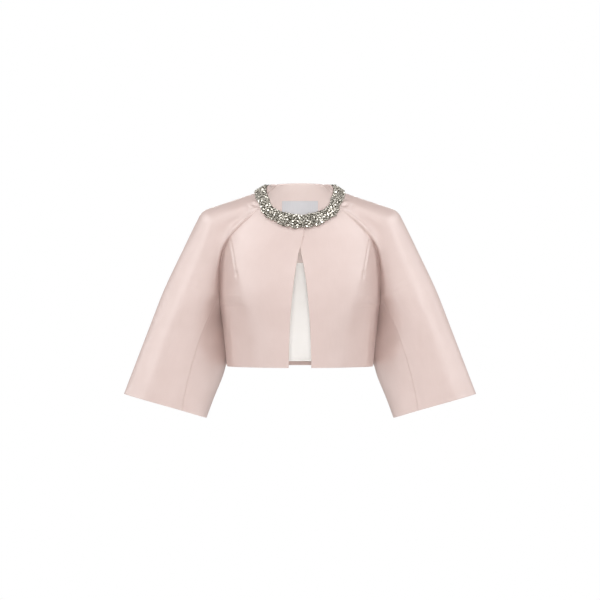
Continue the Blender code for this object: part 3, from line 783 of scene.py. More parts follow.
def half_jacket(lap):
    """Front, half of the back, top sleeve and under sleeve of the left side, sewn together.

    With them comes the flatness of the front raglan seam and of the back one.
    """
    front = bodice_cloth(front_place, BODY_ROWS, FRONT_COLUMNS, lap)
    back = bodice_cloth(back_place, BODY_ROWS, BACK_COLUMNS)
    top = sleeve_cloth(soft_top_sleeve, SLEEVE_ROWS, TOP_COLUMNS, -1)
    under = sleeve_cloth(under_sleeve, ARM_ROWS, UNDER_COLUMNS, 1)
    cloths = front, back, top, under
    own = [c.normals.copy() for c in cloths]
    raglan = slice(0, RAGLAN_END + 1)
    foot = slice(RAGLAN_END, FOOT_END + 1)
    side = slice(FOOT_END, None)
    arm = slice(RAGLAN_END, None)
    middle = len(UNDER_COLUMNS) // 2
    seams = ((front, 0), (back, -1))
    flatness = [raglan_flatness(Edge(b, raglan, -1), Edge(top, raglan, column)) for b, column in seams]
    sewn(Edge(front, side, -1), Edge(back, side, -1))
    sewn(Edge(front, foot, -1), Edge(under, 0, slice(0, middle + 1)))
    sewn(Edge(back, foot, -1), Edge(under, 0, slice(None, middle - 1, -1)))
    for body, column in seams:
        sewn(Edge(top, arm, column), Edge(under, slice(None), column))
        sewn(Edge(body, raglan, -1), Edge(top, raglan, column))
    for cloth, normals in zip(cloths, own):
        eased(cloth, normals)
    return cloths, flatness


# Seams and folds


def groove(distance, depth, reach):
    """Cloth pulled in at a seam, in metres from figures in mm."""
    return -depth * MM * np.exp(-distance / (reach * MM))


def roll(distance, height, reach):
    """Cloth standing up beside a seam, highest at its reach from it."""
    share = distance / (reach * MM)
    return height * MM * share**2 * np.exp(1 - share**2)


def seam_of(places, flatness, distance, rolled=False):
    """Height of the cloth beside a seam down one side of a piece, by the place of each row.

    Where the cloth turns back on itself, its flatness is 0 and the fold alone makes the line.
    """
    depth, reach, height, far = SEAMS.each("groove reach roll roll_reach", places[:, None])
    pulled_in = groove(distance, depth * flatness[:, None], reach)
    return pulled_in + roll(distance, height, far) if rolled else pulled_in


def side_seams(cloth, places, flatness, rolled=False):
    """Height of the cloth beside the seams down both its sides, with the flatness of each."""
    return sum(seam_of(places, flat, side, rolled) for flat, side in zip(flatness, cloth.sides()))


class Fold:
    """A trough or ridge along a line, given as it is seen from the front or from behind."""

    SAMPLES = 25
    # Past this many widths from the line a fold is not felt
    FARTHEST = 3

    def __init__(self, row, side, form):
        named = dict(zip(FOLD_COLUMNS.split(), row))
        flip = np.array([side, 1])
        handles = [np.array([named[f"x{i}"], named[f"z{i}"]]) * MM * flip for i in (0, 1, 2)]
        # The handle that takes the curve through the line's middle
        handles[1] = 2 * handles[1] - (handles[0] + handles[2]) / 2
        seen = bezier(np.linspace(0, 1, self.SAMPLES), handles)
        nearest = ((form[None, :, ::2] - seen[:, None]) ** 2).sum(-1).argmin(1)
        self.line = np.stack([seen[:, 0], form[nearest, 1], seen[:, 1]], -1)
        self.wide = named["wide"] * MM
        self.high = named["high"] * MM * (named["other_side"] if side < 0 else 1)
        self.rise, self.fall = named["rise"], named["fall"]

    def height(self, points):
        """How far the fold moves each point out."""
        flat = points.reshape(-1, 3)
        reach = self.FARTHEST * self.wide
        near = np.all((flat > self.line.min(0) - reach) & (flat < self.line.max(0) + reach), axis=1)
        out = np.zeros(len(flat))
        if not near.any():
            return out.reshape(points.shape[:-1])
        start, step = self.line[:-1], np.diff(self.line, axis=0)
        offset = flat[near][:, None] - start[None]
        t = np.clip((offset * step).sum(-1) / (step**2).sum(-1), 0, 1)
        gap = ((offset - t[..., None] * step) ** 2).sum(-1)
        best = gap.argmin(1)
        picked = np.arange(len(best))
        share = (best + t[picked, best]) / len(step)
        taper = (1 - fade(share, 0, self.rise)) * fade(share, 1 - self.fall, self.fall)
        out[near] = self.high * taper * np.exp(-gap[picked, best] / self.wide**2)
        return out.reshape(points.shape[:-1])


def folds_of(rows, form):
    """Folds of a table, on both sides of a form."""
    return [Fold(row, side, form) for row in rows for side in (1, -1)]


# Meshes


def edge_wall(distance, thickness):
    """Wall left beside a free edge, rounded off at the edge itself."""
    share = np.clip(1 - distance / EDGE_ROUND, 0, 1)
    return np.maximum(thickness * np.sqrt(1 - share**2), EDGE_THINNEST)


def grid_faces(rows, columns, start, turned):
    """Four-cornered faces of a grid of points that are numbered from start."""
    corner = start + (np.arange(rows - 1)[:, None] * columns + np.arange(columns - 1)).ravel()
    faces = np.stack([corner, corner + 1, corner + columns + 1, corner + columns], -1)
    return faces[:, ::-1] if turned else faces


def finished(name, points, faces, materials, picks, flat=None, smooth=True):
    """Mesh object of the given faces, with a material pick for each and places on the flat cloth."""
    data = bpy.data.meshes.new(name)
    data.from_pydata(points.tolist(), [], faces.tolist() if hasattr(faces, "tolist") else faces)
    for made in materials:
        data.materials.append(made)
    data.polygons.foreach_set("material_index", np.asarray(picks, np.int32))
    data.polygons.foreach_set("use_smooth", np.full(len(data.polygons), smooth))
    if flat is not None:
        layer = data.uv_layers.new(name="UVMap")
        corners = np.zeros(len(data.loops), np.int32)
        data.loops.foreach_get("vertex_index", corners)
        layer.data.foreach_set("uv", flat[corners].astype(np.float32).ravel())
    data.update()
    obj = bpy.data.objects.new(name, data)
    bpy.context.scene.collection.objects.link(obj)
    return obj


def shell(name, cloth, thickness, materials, free, inner_pick=None):
    """Wall of cloth. Free names the edges that are finished ones: t top, b bottom, s start, e end.

    inner_pick gives the material of the inner faces from their distances to the four edges.
    """
    rows, columns = cloth.points.shape[:2]
    ends = cloth.ends()
    near = np.full((rows, columns), np.inf)
    for letter, distance in zip("tbse", ends):
        if letter in free:
            near = np.minimum(near, distance)
    wall = edge_wall(near, thickness)
    outer = cloth.moved((wall - thickness) / 2).points
    inner = cloth.moved(-(wall + thickness) / 2).points
    points = np.concatenate([outer.reshape(-1, 3), inner.reshape(-1, 3)])
    middle = rows // 2, columns // 2
    over = outer[middle[0], middle[1] + 1] - outer[middle]
    down = outer[middle[0] + 1, middle[1]] - outer[middle]
    turned = np.cross(over, down) @ cloth.normals[middle] < 0
    outer_faces = grid_faces(rows, columns, 0, turned)
    inner_faces = grid_faces(rows, columns, rows * columns, not turned)
    rim = [(0, j) for j in range(columns - 1)] + [(i, columns - 1) for i in range(rows - 1)]
    rim += [(rows - 1, j) for j in range(columns - 1, 0, -1)] + [(i, 0) for i in range(rows - 1, 0, -1)]
    order = np.array([r * columns + c for r, c in rim])
    after = np.roll(order, -1)
    behind = rows * columns
    rim_faces = np.stack([after, order, order + behind, after + behind], -1)
    if turned:
        rim_faces = rim_faces[:, ::-1]
    faces = np.concatenate([outer_faces, inner_faces, rim_faces])
    inner_materials = np.zeros(len(inner_faces), int)
    if inner_pick is not None:
        inner_materials = inner_pick(*(d[:-1, :-1].ravel() for d in ends)).astype(int)
    picks = np.concatenate([np.zeros(len(outer_faces), int), inner_materials, np.zeros(len(rim_faces), int)])
    flat = np.stack([ends[2], ends[0]], -1).reshape(-1, 2)
    return finished(name, points, faces, materials, picks, np.concatenate([flat, flat]))


# Materials


# Noise lies mostly between these values, and bands of a wave texture repeat by this factor
NOISE_RANGE = 0.3, 0.7
WAVE_FACTOR = 20


class Nodes:
    """Shorthand for building one material's nodes."""

    def __init__(self, name):
        self.material = bpy.data.materials.new(name)
        self.material.use_nodes = True
        self.tree = self.material.node_tree
        self.shader = self.tree.nodes["Principled BSDF"]

    def add(self, kind, inputs=(), **settings):
        node = self.tree.nodes.new(kind)
        for name, value in settings.items():
            setattr(node, name, value)
        for name, value in dict(inputs).items():
            self.put(node.inputs[name], value)
        return node

    def put(self, socket, value):
        """Links an output, or sets a plain value."""
        if isinstance(value, bpy.types.NodeSocket):
            self.tree.links.new(value, socket)
        else:
            socket.default_value = value

    def set(self, **values):
        """Sets the shader's sockets, named with _ for a space."""
        for name, value in values.items():
            self.put(self.shader.inputs[name.replace("_", " ")], value)

    def place(self):
        return self.add("ShaderNodeTexCoord").outputs["Object"]

    def stretched(self, source, scale):
        return self.add("ShaderNodeMapping", {"Vector": source, "Scale": scale}).outputs["Vector"]

    def noise(self, vector, scale, detail=2.0):
        inputs = {"Vector": vector, "Scale": scale, "Detail": detail}
        return self.add("ShaderNodeTexNoise", inputs).outputs["Fac"]

    def threads(self, vector, direction, pitch):
        """Bands of thread at a pitch in metres, across the cloth or down it."""
        scale = 2 * math.pi / (WAVE_FACTOR * pitch)
        inputs = {"Vector": vector, "Scale": scale, "Distortion": 0.6, "Detail": 1.0}
        node = self.add("ShaderNodeTexWave", inputs, wave_type="BANDS", bands_direction=direction)
        return node.outputs["Fac"]

    def sum(self, first, second):
        return self.add("ShaderNodeMath", {0: first, 1: second}, operation="ADD").outputs["Value"]

    def ranged(self, value, low, high):
        """Value of a texture, spread from low to high."""
        least, most = NOISE_RANGE
        inputs = {"Value": value, "From Min": least, "From Max": most, "To Min": low, "To Max": high}
        return self.add("ShaderNodeMapRange", inputs).outputs["Result"]

    def mixed(self, share, first, second):
        node = self.add("ShaderNodeMix", data_type="RGBA")
        self.put(node.inputs["Factor"], share)
        self.put(node.inputs["A"], first)
        self.put(node.inputs["B"], second)
        return next(o for o in node.outputs if o.type == "RGBA")

    def bump(self, height, distance, strength, normal=None):
        inputs = {"Height": height, "Distance": distance, "Strength": strength}
        if normal is not None:
            inputs["Normal"] = normal
        return self.add("ShaderNodeBump", inputs).outputs["Normal"]


# Satin: streaks down the threads and clouds of other colour, with the streaks' share of it, the weft's
# pitch against the warp's, the streaks' part in the weave, the weave's depth, and the size of soft ripples
STREAKS = 900, 30, 1
CLOUDS = 22.0
STREAK_SHARE = 0.45
WEFT_PITCH = 1.3
STREAK_RELIEF = 0.6
WEAVE_DEPTH = 0.06 * MM
WEAVE_STRENGTH = 0.35
RIPPLES = 38.0
RIPPLE_STRENGTH = 0.5
ROUGHNESS_SPREAD = 0.035
SATIN_IOR = 2.0


def satin(name, shade, light, roughness, gloss, thread, ripple):
    """Woven satin: fine threads both ways, long streaks of slightly other colour, and soft ripples."""
    nodes = Nodes(name)
    flat = nodes.add("ShaderNodeUVMap", uv_map="UVMap").outputs["UV"]
    place = nodes.place()
    streaks = nodes.noise(nodes.stretched(flat, STREAKS), 1.0, detail=3.0)
    cloud = nodes.noise(place, CLOUDS, detail=3.0)
    share = nodes.sum(nodes.ranged(streaks, 0, STREAK_SHARE), nodes.ranged(cloud, 0, 1 - STREAK_SHARE))
    warp = nodes.threads(flat, "X", thread * MM)
    weft = nodes.threads(flat, "Y", thread * MM * WEFT_PITCH)
    weave = nodes.sum(nodes.sum(warp, weft), nodes.ranged(streaks, 0, STREAK_RELIEF))
    soft = nodes.bump(nodes.noise(place, RIPPLES), ripple * MM, RIPPLE_STRENGTH)
    nodes.set(
        Base_Color=nodes.mixed(share, (*shade, 1), (*light, 1)),
        Roughness=nodes.ranged(streaks, roughness - ROUGHNESS_SPREAD, roughness + ROUGHNESS_SPREAD),
        Normal=nodes.bump(weave, WEAVE_DEPTH, WEAVE_STRENGTH, soft),
        Specular_IOR_Level=gloss,
        IOR=SATIN_IOR,
    )
    return nodes.material


# Cloths: shade and light colours, roughness, gloss, and in mm the pitch of threads and depth of ripples
CLOTHS = {
    "blush_satin": ((0.528, 0.389, 0.352), (0.580, 0.442, 0.406), 0.50, 1.0, 0.45, 1.2),
    # The facing is the blush satin much lightened: painted light on the shaded inside
    "blush_satin_facing": ((0.825, 0.682, 0.643), (0.870, 0.740, 0.701), 0.48, 0.7, 0.45, 1.0),
    "ivory_lining": ((0.90, 0.885, 0.855), (0.94, 0.93, 0.91), 0.55, 0.4, 0.35, 1.6),
    # The turned-up hem is the blush satin darkened: painted shade under the lining's pleat
    "blush_satin_turn_up_painted_shade": ((0.460, 0.328, 0.292), (0.512, 0.378, 0.342), 0.48, 0.6, 0.45, 0.6),
    "grey_label": ((0.64, 0.65, 0.68), (0.73, 0.735, 0.765), 0.50, 0.4, 0.40, 0.2),
}
SATIN, PAINTED_LIGHT_FACING, LINING, PAINTED_SHADE_TURN_UP, LABEL = (satin(name, *look) for name, look in CLOTHS.items())

# Stones and settings: how far the roughness varies, and the depth and strength of their grain
TINT_SPREAD = 0.3
GRAIN_DEPTH = 0.1 * MM
GRAIN_STRENGTH = 0.15


def tinted(name, roughness, metallic, low, high, grain):
    """Finish whose tone is painted on each facet, between two colours; on the stones that tone is painted
    glints and reflections.
    """
    nodes = Nodes(name)
    tone = nodes.add("ShaderNodeAttribute", attribute_name="tone").outputs["Fac"]
    fine = nodes.noise(nodes.place(), grain)
    nodes.set(
        Base_Color=nodes.mixed(tone, (*low, 1), (*high, 1)),
        Roughness=nodes.ranged(fine, roughness * (1 - TINT_SPREAD), roughness * (1 + TINT_SPREAD)),
        Metallic=metallic,
        Normal=nodes.bump(fine, GRAIN_DEPTH, GRAIN_STRENGTH),
    )
    return nodes.material


# Roughness, how metallic it is, the dark and the light tone, and how fine the grain is
# The stones' light tone is a painted glint and their dark tone a painted dark reflection
GLINT_PAINTED_CRYSTAL = tinted("crystal_stone", 0.14, 0.85, (0.11, 0.095, 0.07), (0.93, 0.885, 0.80), 900.0)
SETTING = tinted("crystal_band", 0.34, 1.0, (0.11, 0.10, 0.075), (0.52, 0.48, 0.40), 1500.0)


# The cloth pieces

left, (front_flatness, back_flatness) = half_jacket(-LAP_STEP / 2)
right = tuple(c.mirrored() for c in half_jacket(LAP_STEP / 2)[0])
no_groove = np.zeros(len(FOOT_ROWS))


def faces_of(cloths, mirrored):
    """Cloth of one side that faces the front, and cloth that faces the back."""
    front, back, *sleeve = cloths
    ahead, behind = [front], [back]
    for cloth in sleeve:
        half = cloth.points.shape[1] // 2
        parts = cloth.part(columns=slice(None, half)), cloth.part(columns=slice(half, None))
        ahead.append(parts[1 if mirrored else 0])
        behind.append(parts[0 if mirrored else 1])
    return ahead, behind


def cloud_of(cloths):
    """Points of cloths, thinned out."""
    return np.concatenate([c.points[::THINNED, ::THINNED].reshape(-1, 3) for c in cloths])


# Everything that faces the front, and everything that faces the back, to lay the fold lines on
front_form, back_form = (cloud_of(a + b) for a, b in zip(faces_of(left, False), faces_of(right, True)))
front_folds, dart_folds, lap_folds = (folds_of(f, front_form) for f in (FRONT_FOLDS, DARTS, LAP_LINES))
back_folds = folds_of(BACK_FOLDS, back_form)


def folded(cloth, folds):
    """How far folds move the points of a cloth out."""
    return sum(fold.height(cloth.points) for fold in folds)


# How far the front raglan seam lies back, at the rows of a front, down the sleeve and round the armhole
RAGLAN_SETBACK = SETBACK.read("back", RAGLAN_ROWS) * MM
FRONT_SETBACK = np.concatenate(
    [RAGLAN_SETBACK, RAGLAN_SETBACK[-1] * fade((FOOT_ROWS - 1) / 2, 0, SETBACK_FOOT), 0 * SIDE_ROWS]
)
ARM_SETBACK = SETBACK.read("back", 1 + ARM_ROWS) * MM
FOOT_SHARE = fade(UNDER_COLUMNS, 0, SETBACK_FOOT)


def set_back(cloth, distance):
    """Cloth moved towards the back, with its wall left as it is."""
    points = cloth.points.copy()
    points[..., 1] += distance
    return Cloth(points, cloth.normals)


def flank(cloth, run):
    """How far each front falls back behind the line of its dart, by the run from its front edge."""
    out = np.abs(cloth.points[..., 0])
    height = cloth.points[..., 2]
    line, fall, soft, reach = (column * MM for column in FLANK.each("out fall soft reach", height))
    crossing = []
    for beyond, distance in zip(out - line, run):
        order = np.argsort(distance)
        first = np.flatnonzero(beyond[order] > 0)
        if len(first) == 0:
            crossing.append(NO_CROSSING)
            continue
        pair = order[first[0] - 1 : first[0] + 1]
        crossing.append(np.interp(0, beyond[pair], distance[pair]))
    past = run - np.array(crossing)[:, None]
    whole = np.maximum(past.max(1, keepdims=True), FLANK_NARROWEST)
    turned_past, turned_whole = (soft * np.logaddexp(0, p / soft) for p in (past, whole))
    gone = np.minimum(turned_past / turned_whole, 1)
    above = FRONT_SETBACK[:, None] * gone * (2 - gone)
    held = 1 - bell(run.max(1, keepdims=True) - run, FLANK_SEAM_EASE)
    share = np.minimum(turned_past / reach, 1)
    below = fall * share * np.exp(0.5 - 0.5 * share**2) * held
    return above + below * np.clip(BODY_ROWS - 1, 0, 1)[:, None]


def dressed_front(cloth, mirrored):
    """Front with its seam, folds and dart, its flank turned away."""
    outer, inner = cloth.sides() if mirrored else cloth.sides()[::-1]
    flatness = np.concatenate([front_flatness, no_groove, SIDE_FLATNESS])
    folds = front_folds + dart_folds + ([] if mirrored else lap_folds)
    creased = cloth.moved(seam_of(BODY_ROWS, flatness, outer) + folded(cloth, folds))
    return set_back(creased, flank(cloth, inner))


def sleeve_hollow(distance):
    """Hollow of the top sleeve, by its distance from the front raglan seam."""
    deep, away, wide = (column[:, None] * MM for column in HOLLOW.each("deep away wide", SLEEVE_ROWS))
    return -deep * bell(distance - away, wide) * (1 - bell(distance, HOLLOW_START))


def sleeve_setback(distance):
    """How far the top sleeve goes back with its front seam, by the distance from it."""
    back = np.concatenate([RAGLAN_SETBACK, ARM_SETBACK[1:]])[:, None]
    reach = SETBACK.read("sleeve_reach", SLEEVE_ROWS)[:, None] * MM
    return back * bell(distance, reach)


def dressed_top(cloth, mirrored):
    """Top sleeve with its seams, hollow and folds, set back beside its front seam."""
    flatness = [np.concatenate([f, ARM_FLATNESS[1:]]) for f in (front_flatness, back_flatness)]
    seams = side_seams(cloth, SLEEVE_ROWS, flatness[::-1] if mirrored else flatness, True)
    from_front = cloth.sides()[1 if mirrored else 0]
    creased = cloth.moved(seams + sleeve_hollow(from_front) + folded(cloth, front_folds + back_folds))
    return set_back(creased, sleeve_setback(from_front))


# Above the hem the under sleeve lies straight from its front seam to the side of the bodice, leans on
# it, and follows it round: the shares of its width where it touches, where it leaves again and over which
# it is back in its place, the clearance, the depths front to back where it touches and leaves, and the
# stretch down the sleeve
LEAN_TOUCH = 0.36
LEAN_LEAVE = 0.60
LEAN_RETURN = 0.36
LEAN_CLEARANCE = 0.6 * MM
LEAN_DEPTHS = 0.026, 0.060
LEAN_START = 0.18
LEAN_END = 0.36
LEAN_FADE = 0.18


def nearest(values, goal):
    """Number of the value that comes closest."""
    return int(np.argmin(np.abs(values - goal)))


def bodice_side(depth, height):
    """Distance from the centre to the side of the bodice, at a depth behind its side seam or in front."""
    half_width, front, back, side = TORSO.each("half_width front back side", height)
    share = np.abs(depth - side) / np.abs(np.where(depth > side, back, front) - side)
    return half_width * (1 - np.minimum(share, 1) ** SECTION_SQUARENESS) ** (1 / SECTION_SQUARENESS)


def leaning(cloth, mirrored):
    """Under sleeve with its inner side leaned on the bodice."""
    points = cloth.points[:, ::-1] if mirrored else cloth.points
    side = -1 if mirrored else 1
    depth = np.interp(UNDER_COLUMNS, (LEAN_TOUCH, LEAN_LEAVE), LEAN_DEPTHS)[None, :]
    touching = points.copy()
    touching[..., 0] = side * (bodice_side(depth, points[..., 2]) + LEAN_CLEARANCE)
    touching[..., 1] = depth
    first = touching[:, nearest(UNDER_COLUMNS, LEAN_TOUCH)][:, None]
    share = np.minimum(UNDER_COLUMNS / LEAN_TOUCH, 1)[None, :, None]
    straight = points[:, :1] + (first - points[:, :1]) * share
    goal = np.where(UNDER_COLUMNS[None, :, None] < LEAN_TOUCH, straight, touching)
    come_back = fade(UNDER_COLUMNS, LEAN_LEAVE, LEAN_RETURN)[None, :, None]
    started = 1 - fade(ARM_ROWS, 0, LEAN_START)
    weight = (started * fade(ARM_ROWS, LEAN_END, LEAN_FADE))[:, None, None]
    leaned = points + (goal - points) * come_back * weight
    return Cloth(leaned[:, ::-1] if mirrored else leaned, cloth.normals)


def dressed_under(cloth, mirrored):
    """Under sleeve with its seams and folds, leaned on the bodice and set back beside its front seam."""
    seams = side_seams(cloth, 1 + ARM_ROWS, (ARM_FLATNESS, ARM_FLATNESS))
    creased = leaning(cloth, mirrored).moved(seams + folded(cloth, front_folds + back_folds))
    return set_back(creased, ARM_SETBACK[:, None] * (FOOT_SHARE[::-1] if mirrored else FOOT_SHARE))


def dressed_back(cloth):
    """Back with its seams and folds."""
    flatness = np.concatenate([back_flatness, no_groove, SIDE_FLATNESS])
    return cloth.moved(side_seams(cloth, BODY_ROWS, (flatness, flatness)) + folded(cloth, back_folds))


# Satin inside, in the facing look that is painted lighter: along the edge of a front, turned up at the cuff,
# and below the neck
FRONT_FACING_WIDTH = 0.070
SLEEVE_HEM = 0.038
NECK_FACING_DEPTH = 0.075
# Looks of a shell, and the numbers in it of those that show inside
SHELL_LOOKS = SATIN, LINING, PAINTED_LIGHT_FACING
LINING_PICK = 1
FACING_PICK = 2


def front_inside(mirrored):
    """Inside of a front: satin facing along its edge and hem, and lining beyond."""

    def pick(top, bottom, start, end):
        edge = end if mirrored else start
        return np.where((edge < FRONT_FACING_WIDTH) | (bottom < HEM_TURN_UP), FACING_PICK, LINING_PICK)

    return pick


def sleeve_inside(top, bottom, start, end):
    """Inside of a sleeve: satin at the neck and turned up at the cuff, and lining between."""
    return np.where((bottom < SLEEVE_HEM) | (top < NECK_FACING_DEPTH), FACING_PICK, LINING_PICK)


cloth_pieces = {}


def add_piece(node, cloth, wall, looks, free, inner_pick=None):
    """Makes the shell of a cloth piece, kept under the node that it stands for."""
    cloth_pieces[node] = shell(f"{node}_cloth", cloth, wall, looks, free, inner_pick)


back = joined(right[1], left[1])
back_dressed = dressed_back(back)
for side, cloths, mirrored in (("right", right, True), ("left", left, False)):
    front, _, top, under = cloths
    for name, cloth, free, inner_pick in (
        ("front", dressed_front(front, mirrored), "tbe" if mirrored else "tbs", front_inside(mirrored)),
        ("sleeve_top", dressed_top(top, mirrored), "tb", sleeve_inside),
        ("sleeve_under", dressed_under(under, mirrored), "b", sleeve_inside),
    ):
        add_piece(f"{name}_{side}", cloth, SHELL_WALL, SHELL_LOOKS, free, inner_pick)
add_piece("back", back_dressed, SHELL_WALL, SHELL_LOOKS, "tb")

# Inside of the back: facing, lining that blouses a little over the turned-up hem, and the label
inside = back_dressed.moved(-SHELL_WALL - LAYER_GAP)
facing_end = nearest(ROWS.read("back_height", BODY_ROWS), FACING_FOOT_HEIGHT)
turn_up = nearest(BODY_ROWS, TURN_UP_ROW)
facing = inside.part(slice(0, facing_end + 1))
lining = inside.part(slice(facing_end, turn_up + 1))
hem = inside.part(slice(turn_up, None))
# The neck facing takes the facing look, lightened as painted light
add_piece("back_neck_facing", facing, FACING_WALL, (PAINTED_LIGHT_FACING,), "tbse")

# The lining's slack and how much of it ripples, how far from top and sides it begins, and the pleat
LINING_FULLNESS = 0.8 * MM
LINING_RIPPLED = 0.6
LINING_TOP_EASE = 0.05
LINING_SIDE_EASE = 0.03
LINING_PLEAT = 2.2 * MM
LINING_PLEAT_REACH = 5 * MM
# Its upright ripples: how fast they turn across and down, where they start, and how high they are
LINING_RIPPLES = (95, 4, 0.6, 1.0), (171, -6, 1.9, 0.6)


def lining_slack(cloth):
    """How far the lining stands in from the back: soft upright ripples, and a pleat above the hem."""
    top, bottom, start, end = cloth.ends()
    x, z = cloth.points[..., 0], cloth.points[..., 2]
    ripple = sum(high * np.sin(x * wide + z * down + begin) for wide, down, begin, high in LINING_RIPPLES)
    swell = fade(-top, -LINING_TOP_EASE, LINING_TOP_EASE)
    swell = swell * fade(-np.minimum(start, end), -LINING_SIDE_EASE, LINING_SIDE_EASE)
    slack = LINING_FULLNESS * (1 + LINING_RIPPLED * ripple) * swell
    return slack + LINING_PLEAT * bell(bottom, LINING_PLEAT_REACH)


add_piece("back_lining", lining.moved(-lining_slack(lining)), LINING_WALL, (LINING,), "tb")
# The turned-up hem takes a darker satin: painted shade
add_piece("back_hem_facing", hem, FACING_WALL, (PAINTED_SHADE_TURN_UP,), "tb")

label = bodice_cloth(label_place, graded(LABEL_STEPS // 2), graded(LABEL_STEPS))
LABEL_STAND_OFF = SHELL_WALL + FACING_WALL + 3 * LAYER_GAP
add_piece("label", label.moved(-LABEL_STAND_OFF), LABEL_WALL, (LABEL,), "tbse")

# The base of the neck band follows the neck from the lap round the right side, the back and the left
# side to the lap
turned = slice(None, None, -1)
band_rows = slice(0, len(BAND_ROWS))
band_end = bodice_cloth(band_end_place, BAND_ROWS, FRONT_COLUMNS, -LAP_STEP / 2)
band_end.normals[:, -1] = left[0].normals[band_rows, -1]
band = joined(
    right[0].part(band_rows, turned),
    right[2].part(band_rows, turned),
    back.part(band_rows),
    left[2].part(band_rows, turned),
    band_end.part(columns=turned),
)
BAND_STAND_OFF = BAND_GAP + BAND_WALL + BAND_PADDING


# The jewels of the neck band

JEWEL_SEED = 20
random = np.random.default_rng(JEWEL_SEED)
band_grid = band.moved(BAND_STAND_OFF)
band_run = runs(band_grid.points)[1]
band_length = band_run[len(BAND_ROWS) // 2, -1]


def band_place(share_along, share_down):
    """Points of the band with their directions outward and down it, by shares of its length and width.

    Past its edges the band runs on.
    """
    rows = BAND_ROWS / BAND_FOOT
    middle = band_run[len(BAND_ROWS) // 2] / band_length
    column = np.interp(share_along, middle, np.arange(len(middle)))
    low = np.clip(column.astype(int), 0, len(middle) - 2)
    part = (column - low)[:, None]
    inside = np.clip(share_down, 0, 1)
    row = np.interp(inside, rows, np.arange(len(rows)))
    upper = np.clip(row.astype(int), 0, len(rows) - 2)
    step = (row - upper)[:, None]

    def read(grid):
        above = grid[upper, low] * (1 - part) + grid[upper, low + 1] * part
        below = grid[upper + 1, low] * (1 - part) + grid[upper + 1, low + 1] * part
        return above * (1 - step) + below * step

    points, normals = read(band_grid.points), unit(read(band_grid.normals))
    whole = band_grid.points[-1, low] - band_grid.points[0, low]
    return points + whole * (share_down - inside)[:, None], normals, unit(whole)


def circle(sides):
    """Corners of a regular outline, one unit from its middle."""
    turn = 2 * math.pi * np.arange(sides) / sides
    return np.stack([np.cos(turn), np.sin(turn)], -1)


# Widths of the long stones, how a navette draws in to its points, and how a pear tapers to its tip
NAVETTE_WIDTH = 0.50
NAVETTE_POINT = 0.28
PEAR_WIDTH = 0.66
PEAR_MIDDLE = 0.81375
PEAR_TAPER = 0.34375
PEAR_TIP = 0.95


def outline(kind, sides):
    """Outline of a stone seen from above, with its longer half one unit long."""
    x, y = circle(sides).T
    if kind == "navette":
        y = NAVETTE_WIDTH * y * (1 - NAVETTE_POINT * np.abs(x) ** 3)
    if kind == "pear":
        y = y * PEAR_WIDTH * np.sqrt(np.minimum(PEAR_MIDDLE - PEAR_TAPER * x, 1))
        y = np.where(x > PEAR_TIP, 0, y)
    return np.stack([x, y], -1)


class Heap:
    """Many small solids gathered into one mesh, with a tone for each face."""

    def __init__(self):
        self.points, self.faces, self.tones, self.count = [], [], [], 0

    def add(self, points, faces, tones):
        self.points.append(points)
        self.faces += [tuple(i + self.count for i in face) for face in faces]
        self.tones += list(tones)
        self.count += len(points)

    def made(self, name, material, smooth):
        faces = self.faces
        picks = np.zeros(len(faces), int)
        obj = finished(name, np.concatenate(self.points), faces, (material,), picks, smooth=smooth)
        layer = obj.data.color_attributes.new("tone", "FLOAT_COLOR", "CORNER")
        corners = np.repeat(np.array(self.tones), [len(f) for f in faces])
        colours = np.stack([corners, corners, corners, np.ones_like(corners)], -1)
        layer.data.foreach_set("color", colours.astype(np.float32).ravel())
        return obj


def ring_faces(first, second, sides):
    """Faces between two rings of points, by the numbers of their first points."""
    return [(first + i, first + (i + 1) % sides, second + (i + 1) % sides, second + i) for i in range(sides)]


# Kinds of stone: outline, sides, half length and height in mm, how many to try for, and how wide apart
STONES = (
    ("navette", 10, 4.6, 2.1, 150, 0.62),
    ("pear", 10, 4.0, 2.1, 130, 0.72),
    ("round", 8, 3.0, 2.0, 190, 0.88),
    ("round", 8, 2.3, 1.7, 220, 0.90),
    ("round", 8, 1.6, 1.4, 220, 0.92),
)
TRIES_PER_STONE = 30
BAND_WIDTH = 0.027
# Room that a stone keeps to the band's edges, in its half lengths, and how near it may come to others
EDGE_ROOM = 0.4
CROWDING = 0.92
# A stone's tilt, how far it stands off in mm, its rings from the girdle up as shares of its outline and
# height, and the size of the table on top
STONE_TILT = 0.22
STONE_LIFT = 0.2, 1.1
STONE_RINGS = (1.0, 0.25), (0.86, 0.66)
TABLE_SIZE = 0.64
# Its cup, from a foot in the band up to the rim, and the claws at every second corner
CUP_FOOT = 0.70
CUP_DEPTH = 0.9 * MM
CUP_RINGS = (1.10, 0.05), (1.12, 0.34), (0.98, 0.36)
CLAW_OUT = 0.98
CLAW_HEIGHT = 0.50
CLAW_SIZE = 0.28 * MM
CLAW_GROWTH = 0.05
CLAW_STEP = 2
# Tones from dark to light. On the stones' facets they are painted reflections and glints: the shares of
# facets that are dark and that don't glint, and of tables with a painted glint
MIDDLING_TONES = 0.36, 0.74
DARK_REFLECTION_TONES = 0.04, 0.22
PAINTED_GLINT_TONES = 0.85, 1.0
CUP_TONES = 0.05, 0.6
CLAW_TONES = 0.5, 1.0
BEAD_TONES = 0.2, 1.0
BASE_TONE = 0.05
DARK_SHARE = 0.34
CALM_SHARE = 0.80
TABLE_GLINT_SHARE = 0.65
# Beads between the stones: their size and its spread, the share of the band that they fill, how near to
# stones they come, how far they stand off in their own size, and their rings
BEAD_COUNT = 700
BEAD_SIZE = 0.85 * MM
BEAD_SPREAD = 0.8, 1.3
BEAD_FOOT = 0.92
BEAD_CROWDING = 0.75
BEAD_LIFT = 0.7
BEAD_SIDES = 6
BEAD_RINGS = (0.72, -0.69), (1.0, 0.0), (0.72, 0.69)
